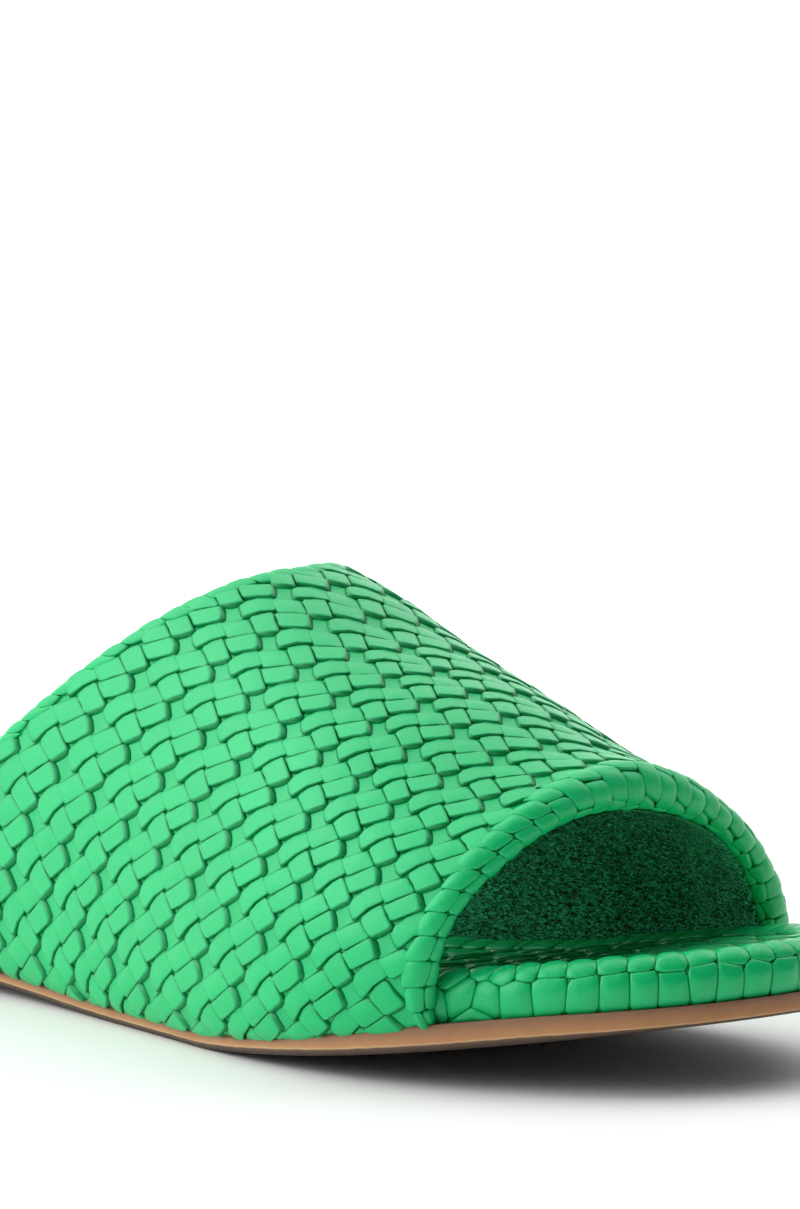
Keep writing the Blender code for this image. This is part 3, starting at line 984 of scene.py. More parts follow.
@dataclass
class PillowTiles:
    """Closed pillow tiles laid on a surface and joined into one mesh.

    A tile has a skirt that reaches down to depth, a wall, a narrow rounded edge, a shoulder, an inner
    ring and a middle. Its vertices carry a tone and an edge value that paints shade, 1 in the groove
    and 0 on top.
    """

    surface: Surface
    depth: float = 1.0
    shares: tuple[float, ...] = (1.0, 1.0, 0.92, 0.80, 0.45)
    # Edge value of each ring: how much painted shade it gets.
    shades: tuple[float, ...] = (1.0, 1.0, 0.45, 0.06, 0.0)
    least_area: float = 1e-3
    blocks: list[tuple[Array, Array, Array, int]] = field(default_factory=list)

    def add(
        self, outline: Array, skirt: Array, centre: Array, lift: Lift, tone: Array, shaded: float = 0.0
    ) -> None:
        """Lay tiles with outlines of the same number of points.

        Args:
            outline: Points round each tile, in the surface's coordinates.
            skirt: Points round the foot of each tile's walls.
            centre: Middle of each tile.
            lift: Height of a point from its offset to the middle and its ring.
            tone: A value for each tile.
            shaded: Least edge value, which paints shade all over tiles that lie in a pit.
        """
        count, size = outline.shape[:2]
        reach = outline - centre[:, None, :]
        rings = [skirt - centre[:, None, :], *(reach * share for share in self.shares[1:])]
        offset = np.concatenate(rings + [np.zeros((count, 1, 2))], axis=1)
        sizes = [size] * len(self.shares) + [1]
        ring = np.repeat(np.array([*self.shares, 0.0]), sizes)
        height = lift(offset, ring)
        height[:, :size] = -self.depth
        place = centre[:, None, :] + offset
        points, normals = self.surface.lay(place[..., 0].ravel(), place[..., 1].ravel())
        points = points + normals * height.ravel()[:, None]
        shades = np.maximum([*self.shades, 0.0], shaded)
        edge = np.tile(np.repeat(shades, sizes), count)
        self.blocks.append((points, edge, np.repeat(tone, len(ring)), size))

    def faces(self, points: Array, size: int, start: int) -> list[list[int]]:
        """Faces of one block of tiles, turned outwards and without slivers.

        Args:
            points: The block's points.
            size: Points round a tile.
            start: Number of the block's first vertex.

        Returns:
            Vertex numbers of each face.
        """
        k = np.arange(size)
        n = (k + 1) % size
        last = len(self.shares) * size
        quads = [np.column_stack((r + k, r + n, r + size + n, r + size + k))
                 for r in range(0, last - size, size)]
        top = np.column_stack((last - size + k, last - size + n, np.full(size, last)))
        first = np.arange(0, len(points), last + 1)[:, None, None]
        kept = [first[:, 0] + k[::-1]]
        turned = None
        for block in (top, np.vstack(quads)):
            index = (first + block[None]).reshape(-1, block.shape[1])
            corner = points[index]
            normal = np.cross(corner[:, 1] - corner[:, 0], corner[:, -1] - corner[:, 0])
            normal += np.cross(corner[:, -1] - corner[:, -2], corner[:, 1] - corner[:, -2])
            if turned is None:
                foot = points.reshape(-1, last + 1, 3)[:, :size].mean(axis=1)
                lid = normal.reshape(-1, size, 3).sum(axis=1)
                turned = (lid * (points[last :: last + 1] - foot)).sum() < 0.0
            kept.append(index[np.linalg.norm(normal, axis=1) > self.least_area])
        made: list[list[int]] = []
        for index in kept:
            made += ((index[:, ::-1] if turned else index) + start).tolist()
        return made

    def build(self, name: str) -> bpy.types.Object:
        """Join the tiles into one object.

        Args:
            name: Name of the object.

        Returns:
            The object, with edge and tone as attributes.
        """
        faces: list[list[int]] = []
        start = 0
        for points, _, _, size in self.blocks:
            faces += self.faces(points, size, start)
            start += len(points)
        mesh = bpy.data.meshes.new(name)
        mesh.from_pydata(np.vstack([block[0] for block in self.blocks]) * MM, [], faces)
        for number, label in ((1, "edge"), (2, "tone")):
            values = np.concatenate([block[number] for block in self.blocks]).astype(np.float32)
            mesh.attributes.new(label, "FLOAT", "POINT").data.foreach_set("value", values)
        mesh.shade_smooth()
        return add_object(name, mesh)


def add_object(name: str, mesh: bpy.types.Mesh) -> bpy.types.Object:
    """Link a mesh into the scene as an object at the origin.

    Args:
        name: Name of the object.
        mesh: Its mesh.

    Returns:
        The object.
    """
    made = bpy.data.objects.new(name, mesh)
    bpy.context.scene.collection.objects.link(made)
    return made


def placed_grid(place: Array, ring: bool = False) -> bmesh.types.BMesh:
    """Make a bmesh grid with its vertices at given places.

    Args:
        place: Rows of points.
        ring: True where the last row joins on to the first.

    Returns:
        The bmesh, in millimetres.
    """
    rows, columns = place.shape[:2]
    steps = (rows if ring else rows - 1, columns - 1)
    bm = bmesh.new()
    made = bmesh.ops.create_grid(bm, x_segments=steps[0], y_segments=steps[1], size=0.5)["verts"]
    for vert in made:
        row, column = round((vert.co.x + 0.5) * steps[0]), round((vert.co.y + 0.5) * steps[1])
        vert.co = place[row % rows, column]
    return bm


def object_from(bm: bmesh.types.BMesh, name: str) -> bpy.types.Object:
    """Turn a bmesh in millimetres into a smooth object in metres, with its faces outwards.

    Args:
        bm: The bmesh, which is freed.
        name: Name of the object.

    Returns:
        The object.
    """
    bmesh.ops.scale(bm, vec=(MM, MM, MM), verts=bm.verts)
    bmesh.ops.recalc_face_normals(bm, faces=bm.faces)
    mesh = bpy.data.meshes.new(name)
    bm.to_mesh(mesh)
    bm.free()
    mesh.shade_smooth()
    return add_object(name, mesh)


def attach(piece: bpy.types.Object, node: str | None, material: bpy.types.Material) -> None:
    """Give a piece its finish, let it ride on the shoe and hide the solid that it stands for.

    Args:
        piece: The piece.
        node: The solid that it stands for, if any.
        material: Its finish.
    """
    piece.data.materials.append(material)
    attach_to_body(piece, BODY)
    if node:
        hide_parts(node)
    log.info("%s: %d faces", piece.name, len(piece.data.polygons))


class NodeTree:
    """Short ways to add and link shader nodes in a material or a group."""

    def __init__(self, tree: bpy.types.NodeTree) -> None:
        """Keep the tree to build in."""
        self.tree = tree

    def add(
        self, kind: str, inputs: dict[str | int, object] | None = None, **settings: object
    ) -> bpy.types.Node:
        """Add a node.

        Args:
            kind: Node type.
            inputs: Value or output socket for each named or numbered input.
            settings: Properties of the node.

        Returns:
            The node.
        """
        node = self.tree.nodes.new(kind)
        for name, value in settings.items():
            setattr(node, name, value)
        self.fill(node, inputs or {})
        return node

    def fill(self, node: bpy.types.Node, inputs: dict[str | int, object]) -> None:
        """Give inputs of a node their values or links.

        Args:
            node: The node.
            inputs: Value or output socket for each named or numbered input.
        """
        for name, value in inputs.items():
            if isinstance(value, bpy.types.NodeSocket):
                self.tree.links.new(value, node.inputs[name])
            else:
                node.inputs[name].default_value = value

    def maths(self, operation: str, *values: object) -> bpy.types.NodeSocket:
        """Output of a Math node on values or sockets."""
        return self.add("ShaderNodeMath", dict(enumerate(values)), operation=operation).outputs[0]

    def mix(self, factor: object, first: object, second: object) -> bpy.types.NodeSocket:
        """Output of a colour mix."""
        return self.add("ShaderNodeMix", {0: factor, 6: first, 7: second}, data_type="RGBA").outputs[2]

    def link(self, source: bpy.types.NodeSocket, target: bpy.types.NodeSocket) -> None:
        """Join an output to an input."""
        self.tree.links.new(source, target)


@dataclass
class EffectGroups:
    """Shader node groups for the effects of the finishes, each built once."""

    wrinkle_scale: float = 0.35
    wrinkle_share: float = 0.8
    pebble_share: float = 0.6
    cloud_share: float = 0.6
    tone_share: float = 0.4
    # Power on the edge value that sets how far the painted groove shade reaches.
    painted_shade_power: float = 1.6
    grain: bpy.types.NodeTree = field(init=False)
    drift: bpy.types.NodeTree = field(init=False)
    painted_groove_shade: bpy.types.NodeTree = field(init=False)

    def __post_init__(self) -> None:
        """Build the groups."""
        self.grain = self._grain()
        self.drift = self._drift()
        self.painted_groove_shade = self._painted_groove_shade()

    @staticmethod
    def _start(
        name: str, inputs: dict[str, str], outputs: dict[str, str]
    ) -> tuple[NodeTree, bpy.types.NodeOutputs, bpy.types.NodeInputs]:
        """Start a group with named sockets.

        Args:
            name: Name of the group.
            inputs: Socket type for each input.
            outputs: Socket type for each output.

        Returns:
            The tree, its input sockets and its output sockets.
        """
        tree = bpy.data.node_groups.new(name, "ShaderNodeTree")
        for direction, sockets in (("INPUT", inputs), ("OUTPUT", outputs)):
            for label, kind in sockets.items():
                tree.interface.new_socket(label, in_out=direction, socket_type=kind)
        enter, leave = tree.nodes.new("NodeGroupInput"), tree.nodes.new("NodeGroupOutput")
        return NodeTree(tree), enter.outputs, leave.inputs

    def _grain(self) -> bpy.types.NodeTree:
        """Fine pebbled grain with a few soft wrinkles.

        Returns:
            The group.
        """
        made, given, result = self._start(
            "pebbled_grain",
            {"Vector": "NodeSocketVector", "Scale": "NodeSocketFloat"},
            {"Height": "NodeSocketFloat", "Mask": "NodeSocketFloat"},
        )
        pebble = made.add("ShaderNodeTexVoronoi", {"Vector": given["Vector"], "Scale": given["Scale"]},
                          feature="SMOOTH_F1")
        coarse = made.maths("MULTIPLY", given["Scale"], self.wrinkle_scale)
        wrinkle = made.add("ShaderNodeTexNoise", {
            "Vector": given["Vector"], "Scale": coarse, "Detail": 4.0})
        pebbled = made.maths("MULTIPLY", pebble.outputs["Distance"], self.pebble_share)
        wrinkled = made.maths("MULTIPLY", wrinkle.outputs["Fac"], self.wrinkle_share)
        made.link(made.maths("ADD", pebbled, wrinkled), result["Height"])
        made.link(wrinkle.outputs["Fac"], result["Mask"])
        return made.tree

    def _drift(self) -> bpy.types.NodeTree:
        """Slow drift of a colour between two tones.

        Returns:
            The group.
        """
        made, given, result = self._start(
            "tone_drift",
            {"Vector": "NodeSocketVector", "Scale": "NodeSocketFloat", "Tone": "NodeSocketFloat",
             "Deep": "NodeSocketColor", "Light": "NodeSocketColor"},
            {"Color": "NodeSocketColor", "Mask": "NodeSocketFloat"},
        )
        cloud = made.add("ShaderNodeTexNoise", {
            "Vector": given["Vector"], "Scale": given["Scale"], "Detail": 3.0})
        clouded = made.maths("MULTIPLY", cloud.outputs["Fac"], self.cloud_share)
        mask = made.maths("ADD", clouded, made.maths("MULTIPLY", given["Tone"], self.tone_share))
        made.link(made.mix(mask, given["Deep"], given["Light"]), result["Color"])
        made.link(mask, result["Mask"])
        return made.tree

    def _painted_groove_shade(self) -> bpy.types.NodeTree:
        """Painted shade: a darker colour down in the grooves, where shade falls.

        Returns:
            The group.
        """
        made, given, result = self._start(
            "groove_shade",
            {"Color": "NodeSocketColor", "GrooveShade": "NodeSocketColor", "Edge": "NodeSocketFloat"},
            {"Color": "NodeSocketColor"},
        )
        deep = made.maths("POWER", given["Edge"], self.painted_shade_power)
        made.link(made.mix(deep, given["Color"], given["GrooveShade"]), result["Color"])
        return made.tree


def blank_material(name: str) -> tuple[bpy.types.Material, NodeTree, bpy.types.Node]:
    """A new material with its Principled BSDF.

    Args:
        name: Name of the material.

    Returns:
        The material, its node tree and its shader.
    """
    material = bpy.data.materials.new(name)
    material.use_nodes = True
    tree = NodeTree(material.node_tree)
    return material, tree, material.node_tree.nodes["Principled BSDF"]


@dataclass(frozen=True)
class LeatherFinish:
    """Satin dyed leather with a fine grain, with painted shade down in its grooves."""

    name: str
    deep: Colour
    light: Colour
    # groove is a painted shade colour, mixed in down in the grooves where shade falls.
    groove: Colour
    roughness: float = 0.42
    rough_spread: float = 0.12
    grain_scale: float = 2600.0
    grain_depth: float = 0.00010
    grain_strength: float = 0.6
    drift_scale: float = 45.0
    coat: float = 0.03
    coat_roughness: float = 0.3
    gloss: float = 0.75
    gloss_tint: Colour = (0.52, 1.0, 0.78, 1.0)

    def material(self, groups: EffectGroups) -> bpy.types.Material:
        """Build the material from the shared groups.

        Args:
            groups: The shared effects.

        Returns:
            The material.
        """
        material, tree, shader = blank_material(self.name)
        place = tree.add("ShaderNodeTexCoord").outputs["Object"]
        tone = tree.add("ShaderNodeAttribute", attribute_name="tone").outputs["Fac"]
        # The edge attribute says where the painted groove shade goes.
        edge = tree.add("ShaderNodeAttribute", attribute_name="edge").outputs["Fac"]
        drift = tree.add("ShaderNodeGroup", {
            "Vector": place, "Scale": self.drift_scale, "Tone": tone,
            "Deep": self.deep, "Light": self.light,
        }, node_tree=groups.drift)
        grain = tree.add(
            "ShaderNodeGroup", {"Vector": place, "Scale": self.grain_scale}, node_tree=groups.grain)
        painted_groove_shade = tree.add("ShaderNodeGroup", {
            "Color": drift.outputs["Color"], "GrooveShade": self.groove, "Edge": edge,
        }, node_tree=groups.painted_groove_shade)
        uneven = tree.maths("MULTIPLY", grain.outputs["Mask"], self.rough_spread)
        rough = tree.maths("ADD", self.roughness - self.rough_spread / 2.0, uneven)
        bump = tree.add("ShaderNodeBump", {
            "Distance": self.grain_depth, "Strength": self.grain_strength,
            "Height": grain.outputs["Height"]})
        tree.fill(shader, {
            "Base Color": painted_groove_shade.outputs["Color"],
            "Roughness": rough,
            "Normal": bump.outputs["Normal"],
            "Specular IOR Level": self.gloss,
            "Specular Tint": self.gloss_tint,
            "Coat Weight": self.coat,
            "Coat Roughness": self.coat_roughness,
        })
        return material


@dataclass(frozen=True)
class SuedeFinish:
    """Short brushed nap: dull, speckled and soft at grazing angles."""

    name: str = "lining_suede"
    deep: Colour = (0.004, 0.060, 0.028, 1.0)
    light: Colour = (0.150, 1.000, 0.560, 1.0)
    nap_scale: float = 2200.0
    nap_depth: float = 0.0010
    nap_strength: float = 0.9
    nap_turn: tuple[float, float, float] = (0.0, 0.5, 0.3)
    nap_stretch: tuple[float, float, float] = (0.45, 1.0, 1.0)
    nap_from: float = 0.41
    nap_to: float = 0.70
    cloud_scale: float = 90.0
    cloud_least: float = 0.62
    cloud_share: float = 0.8
    roughness: float = 0.95
    gloss: float = 0.15
    sheen: float = 0.35
    sheen_roughness: float = 0.5
    sheen_tint: Colour = (0.10, 0.55, 0.30, 1.0)

    def material(self) -> bpy.types.Material:
        """Build the material.

        Returns:
            The material.
        """
        material, tree, shader = blank_material(self.name)
        place = tree.add("ShaderNodeTexCoord").outputs["Object"]
        lean = tree.add("ShaderNodeMapping", {
            "Vector": place, "Rotation": self.nap_turn, "Scale": self.nap_stretch})
        nap = tree.add("ShaderNodeTexNoise", {
            "Vector": lean.outputs["Vector"], "Scale": self.nap_scale,
            "Detail": 1.5, "Roughness": 0.6, "Distortion": 1.2})
        cloud = tree.add("ShaderNodeTexNoise", {"Vector": place, "Scale": self.cloud_scale, "Detail": 2.0})
        contrast = tree.add("ShaderNodeMapRange", {
            "Value": nap.outputs["Fac"], "From Min": self.nap_from, "From Max": self.nap_to})
        clouded = tree.maths("MULTIPLY", cloud.outputs["Fac"], self.cloud_share)
        patchy = tree.maths("ADD", self.cloud_least, clouded)
        mask = tree.maths("MULTIPLY", contrast.outputs["Result"], patchy)
        bump = tree.add("ShaderNodeBump", {
            "Distance": self.nap_depth, "Strength": self.nap_strength, "Height": nap.outputs["Fac"]})
        tree.fill(shader, {
            "Base Color": tree.mix(mask, self.deep, self.light),
            "Normal": bump.outputs["Normal"],
            "Roughness": self.roughness,
            "Specular IOR Level": self.gloss,
            "Sheen Weight": self.sheen,
            "Sheen Roughness": self.sheen_roughness,
            "Sheen Tint": self.sheen_tint,
        })
        return material


@dataclass(frozen=True)
class RubberFinish:
    """Matte tan rubber, worn pale along the chamfer, with painted shade below the worn line and painted
    light and shade up the wall.
    """

    name: str = "outsole_rubber"
    # Colours up the wall: painted shade on the underside and lower chamfer, a pale worn line, painted light
    # on the lower wall and painted shade at its top.
    wear_and_shade_bands: tuple[tuple[float, Colour], ...] = (
        (0.0, (0.012, 0.009, 0.007, 1.0)),
        (0.24, (0.030, 0.019, 0.012, 1.0)),
        (0.43, (0.16, 0.09, 0.055, 1.0)),
        (0.50, (0.72, 0.46, 0.23, 1.0)),
        (0.57, (0.58, 0.27, 0.105, 1.0)),
        (1.0, (0.26, 0.13, 0.068, 1.0)),
    )
    grain_scale: float = 1400.0
    grain_depth: float = 0.00012
    grain_strength: float = 0.5
    scuff_scale: float = 420.0
    wear: float = 0.10
    cloud_scale: float = 150.0
    mottle: float = 0.35
    mottle_colour: Colour = (0.12, 0.07, 0.045, 1.0)
    roughness: float = 0.52
    rough_spread: float = 0.2

    def material(self, groups: EffectGroups) -> bpy.types.Material:
        """Build the material from the shared groups.

        Args:
            groups: The shared effects.

        Returns:
            The material.
        """
        material, tree, shader = blank_material(self.name)
        place = tree.add("ShaderNodeTexCoord").outputs["Object"]
        wall = tree.add("ShaderNodeAttribute", attribute_name="wall").outputs["Fac"]
        grain = tree.add(
            "ShaderNodeGroup", {"Vector": place, "Scale": self.grain_scale}, node_tree=groups.grain)
        scuff = tree.add("ShaderNodeTexNoise", {"Vector": place, "Scale": self.scuff_scale, "Detail": 4.0})
        uneven = tree.maths("MULTIPLY", tree.maths("SUBTRACT", scuff.outputs["Fac"], 0.5), self.wear)
        # Painted light and shade up the wall, read from the wall value, with the pale worn line between.
        ramp = tree.add("ShaderNodeValToRGB", {"Fac": tree.maths("ADD", wall, uneven)})
        stops = ramp.color_ramp.elements
        for _ in self.wear_and_shade_bands[2:]:
            stops.new(0.5)
        for stop, (place_up, colour) in zip(stops, self.wear_and_shade_bands):
            stop.position = place_up
            stop.color = colour
        cloud = tree.add("ShaderNodeTexNoise", {"Vector": place, "Scale": self.cloud_scale, "Detail": 3.0})
        dull = tree.maths("MULTIPLY", cloud.outputs["Fac"], self.mottle)
        uneven = tree.maths("MULTIPLY", grain.outputs["Mask"], self.rough_spread)
        bump = tree.add("ShaderNodeBump", {
            "Distance": self.grain_depth, "Strength": self.grain_strength,
            "Height": grain.outputs["Height"]})
        tree.fill(shader, {
            "Base Color": tree.mix(dull, ramp.outputs["Color"], self.mottle_colour),
            "Normal": bump.outputs["Normal"],
            "Roughness": tree.maths("ADD", self.roughness, uneven),
        })
        return material


@dataclass
class WovenBand:
    """The wide band: a padded wall, its woven outer face and its suede lining."""

    form: BandForm
    weave: Weave
    leather: bpy.types.Material
    suede: bpy.types.Material
    slot: str = "band_leather"
    node: str = "upper"
    ground: float = 0.8
    relief: float = 0.8
    edge_reach: float = 0.03
    strip_gap: float = 0.02
    strip_uneven: float = 0.025
    strip_corner: float = 0.12
    strip_bow: Sides = Sides(0.03, 0.03, 0.2, 0.2)
    strip_points: int = 5
    strip_skirt: float = 1.02
    strip_spread: float = 0.05
    strip_depth: float = 0.9
    strip_rings: tuple[float, ...] = (1.0, 1.0, 0.95, 0.84, 0.6, 0.3)
    # Edge values of the rings, which paint shade in the roll's grooves.
    strip_shades: tuple[float, ...] = (1.0, 0.8, 0.15, 0.0, 0.0, 0.0)
    strip_crown: float = 0.28
    strip_drop: float = 0.22
    strip_tuck: float = 0.25
    strip_parts: tuple[tuple[StripPart, ...], ...] = (
        (StripPart(-0.16, 0.64, 0.03, 0.05), StripPart(0.66, 0.95, 0.05, 0.0)),
        (StripPart(-0.24, 0.20, -0.03, 0.05), StripPart(0.22, 0.78, 0.05, -0.04),
         StripPart(0.80, 0.96, -0.04, 0.0)),
        (StripPart(-0.1, 0.32, 0.05, 0.04), StripPart(0.335, 0.93, 0.04, 0.0)),
    )
    side_share: float = 0.33
    fill: float = 0.9
    wall_columns: int = 121
    wall_rows: int = 61
    weld: float = 1e-4
    lining_columns: int = 141
    lining_rows: int = 81
    lining_margin: float = 0.004
    lining_lift: float = 0.45
    lining_cut: tuple[float, float] = (0.205, 0.185)
    lining_area: float = 0.0242
    seed: int = 11

    def build(self) -> None:
        """Make the wall, the weave and the lining."""
        wall = self.core()
        attach(wall, self.node, self.leather)
        for piece in self.strips():
            attach(piece, self.node, self.leather)
        lining = self.lining()
        attach(lining, None, self.suede)

    def strips(self) -> list[bpy.types.Object]:
        """Woven face with a pillow tile for each crossing, and both rolled edges.

        Returns:
            The three pieces.
        """
        sheet = BandSheet(self.form, self.weave)
        rng = np.random.default_rng(self.seed)
        tiles = PillowTiles(sheet)
        lay_crossings(tiles, self.weave, sheet.cells(self.edge_reach), rng, self.relief)
        rolls = [self.roll(RollSheet(self.form, at_toe), name, rng)
                 for name, at_toe in (("toe_roll", True), ("throat_roll", False))]
        return [tiles.build("band_weave"), *rolls]

    def roll(self, sheet: RollSheet, name: str, rng: np.random.Generator) -> bpy.types.Object:
        """Strips folded over an edge: long tiles, with one or two cross seams in each strip.

        Args:
            sheet: The rolled edge.
            name: Name of the piece.
            rng: Source of the small differences between tiles.

        Returns:
            The roll.
        """
        outlines = []
        for strip in np.arange(math.ceil(sheet.rows.min()), math.floor(sheet.rows.max()) + 1):
            length = float(sheet.round_length(np.array([strip]))[0])
            half = 0.5 - self.strip_gap
            beside = sheet.at_toe and np.interp(strip, sheet.rows, sheet.shares) < self.side_share
            for part in self.strip_parts[2 if beside else int(strip) % 2]:
                slant = rng.normal(0.0, self.strip_uneven, 4)
                ends = (part.start - part.slant_start, part.start + part.slant_start,
                        part.end + part.slant_end, part.end - part.slant_end)
                sides = (-half, half, half, -half)
                corners = tuple(Corner(strip + side, (end + shift) * length, self.strip_corner)
                                for side, end, shift in zip(sides, ends, slant))
                outlines.append(rounded_outline(corners, self.strip_bow, self.strip_points))
        outlines = np.array(outlines)
        centre = outlines.mean(axis=1)
        skirts = centre[:, None, :] + (outlines - centre[:, None, :]) * self.strip_skirt
        raised = rng.normal(0.0, self.strip_spread, len(outlines))
        tiles = PillowTiles(sheet, self.strip_depth, self.strip_rings, self.strip_shades)
        lift = cushion(self.strip_crown, self.strip_drop, raised, self.strip_tuck)
        tiles.add(outlines, skirts, centre, lift, rng.random(len(outlines)))
        return tiles.build(name)

    def core(self) -> bpy.types.Object:
        """Padded wall under the weave, closed round both rolled edges and at the feet.

        Returns:
            The wall.
        """
        across = np.linspace(0.0, 1.0, self.wall_columns)
        columns = np.linspace(0, self.form.across_count - 1, self.wall_columns).round().astype(int)
        outer = (self.form.grid - self.form.normals * self.ground)[:, columns]
        inner = self.inner_rows(across, np.linspace(0.0, 1.0, self.wall_rows)[1:-1])
        bm = placed_grid(np.concatenate((outer, inner)), ring=True)
        bmesh.ops.remove_doubles(bm, verts=bm.verts, dist=self.weld)
        bmesh.ops.holes_fill(bm, edges=[edge for edge in bm.edges if edge.is_boundary], sides=0)
        return object_from(bm, "band_wall")

    def lining(self) -> bpy.types.Object:
        """Suede on the inner face, turned a little way round both rolled edges.

        Returns:
            The lining.
        """
        across = np.linspace(self.lining_margin, 1.0 - self.lining_margin, self.lining_columns)
        rows = self.inner_rows(across, np.linspace(0.0, 1.0, self.lining_rows))
        toe, throat = (self.form.cap(across, back)[-3:-1] for back in (0.0, 1.0))
        place = np.concatenate((toe, rows, throat[::-1]))
        fore, side = np.gradient(place, axis=0), np.gradient(place, axis=1)
        inward = np.cross(fore, side)
        inward /= np.linalg.norm(inward, axis=2)[:, :, None]
        crest = inward[self.lining_rows // 2, self.lining_columns // 2]
        lifted = place - inward * np.sign(crest[2]) * self.lining_lift
        return object_from(placed_grid(lifted), "band_lining")

    def inner_rows(self, across: Array, backs: Array) -> Array:
        """Rows of points on the inner face at shares across and shares back."""
        return np.array([
            self.form.points(across, np.full_like(across, back), inner=True) for back in backs])


def lay_crossings(
    tiles: PillowTiles, weave: Weave, cells: Array, rng: np.random.Generator, relief: float = 1.0
) -> None:
    """Lay a tile of the right kind on each cell.

    Args:
        tiles: Where the tiles are laid.
        weave: Gives the kind of each cell.
        cells: Column and row number of each cell.
        rng: Source of the small differences between tiles.
        relief: Factor on the height of the strips.
    """
    kinds = weave.kind(cells[:, 0], cells[:, 1])
    for crossing, shape in SHAPES.items():
        centre = cells[kinds == crossing.value].astype(float)
        count = len(centre)
        outline = weave.filled * shape.outline()
        uneven = outline[None] + rng.normal(0.0, weave.outline_spread, (count, *outline.shape))
        raised = rng.normal(0.0, weave.height_spread, count)
        tilt = rng.normal(0.0, weave.tilt_spread, (count, 2))

        def lift(offset: Array, ring: Array) -> Array:
            """Relief of the crossing, a little different on each tile."""
            lean = (offset * tilt[:, None, :]).sum(axis=2)
            return relief * (shape.heights(offset, ring[None, :]) + raised[:, None] + lean)

        middle = centre[:, None, :]
        tone = rng.random(count)
        tiles.add(middle + uneven, middle + shape.skirt(uneven), centre, lift, tone, shape.shaded)


class RingStack:
    """A bmesh tube of rings that follow the sole's outline and close from side to side."""

    def __init__(self, sole: SoleForm, count: int) -> None:
        """Start with an empty bmesh.

        Args:
            sole: Gives the outline.
            count: Points in a ring.
        """
        self.sole = sole
        self.count = count
        self.places = sole.ring_places(count)
        self.bm = bmesh.new()
        self.wall = self.bm.verts.layers.float.new("wall")
        self.rings: list[list[bmesh.types.BMVert]] = []

    def plan(self, inset: Array | float) -> Array:
        """Plan points of a ring at one inset or one for each point."""
        inset = np.broadcast_to(inset, self.count)[:, None]
        return self.sole.outline[self.places] - self.sole.outward[self.places] * inset

    def add_levels(self, levels: list[tuple[Array | float, Callable[[Array], Array]]]) -> None:
        """Stack rings.

        Args:
            levels: Inset and height of each ring from the bottom up, the height as a function of X.
        """
        ring = list(bmesh.ops.create_circle(self.bm, cap_ends=False, segments=self.count)["verts"])
        for number, (inset, height) in enumerate(levels):
            if number:
                edges = [self.bm.edges.get(pair) for pair in zip(ring, ring[1:] + ring[:1])]
                made = bmesh.ops.extrude_edge_only(self.bm, edges=edges)["geom"]
                fresh = {item for item in made if isinstance(item, bmesh.types.BMVert)}
                ring = [self.neighbour(vert, fresh) for vert in ring]
            plan = self.plan(inset)
            for vert, (x, y), z in zip(ring, plan, height(plan[:, 0])):
                vert.co = (x, y, z)
            self.rings.append(ring)

    @staticmethod
    def neighbour(vert: bmesh.types.BMVert, fresh: set[bmesh.types.BMVert]) -> bmesh.types.BMVert:
        """Vertex of a fresh ring that an edge joins to one of the ring below."""
        ends = (edge.other_vert(vert) for edge in vert.link_edges)
        return next(end for end in ends if end in fresh)

    def close_across(self, ring: list[bmesh.types.BMVert]) -> list[bmesh.types.BMEdge]:
        """Fill a ring from its lateral to its medial half.

        Args:
            ring: The ring's vertices.

        Returns:
            The rungs between the halves.
        """
        half = self.count // 2
        lateral, medial = ring[1:half], ring[:half:-1]
        rails = []
        for rail in (lateral, medial):
            rails.extend(self.bm.edges.get(pair) for pair in zip(rail, rail[1:]))
        bmesh.ops.bridge_loops(self.bm, edges=rails)
        bmesh.ops.contextual_create(self.bm, geom=[ring[0], lateral[0], medial[0]])
        bmesh.ops.contextual_create(self.bm, geom=[ring[half], lateral[-1], medial[-1]])
        return [self.bm.edges.get(pair) for pair in zip(lateral, medial)]


class SoleFace(Enum):
    """Face of the sole that a ring's height is counted from."""

    UNDER = "under"
    OVER = "over"


class SoleRing(NamedTuple):
    """A ring of the sole: inset, height over a face and a share of the chamfer, and wall value, which
    places the rubber's painted shading and worn line.
    """

    inset: float
    face: SoleFace
    chamfer: float
    above: float
    wall: float


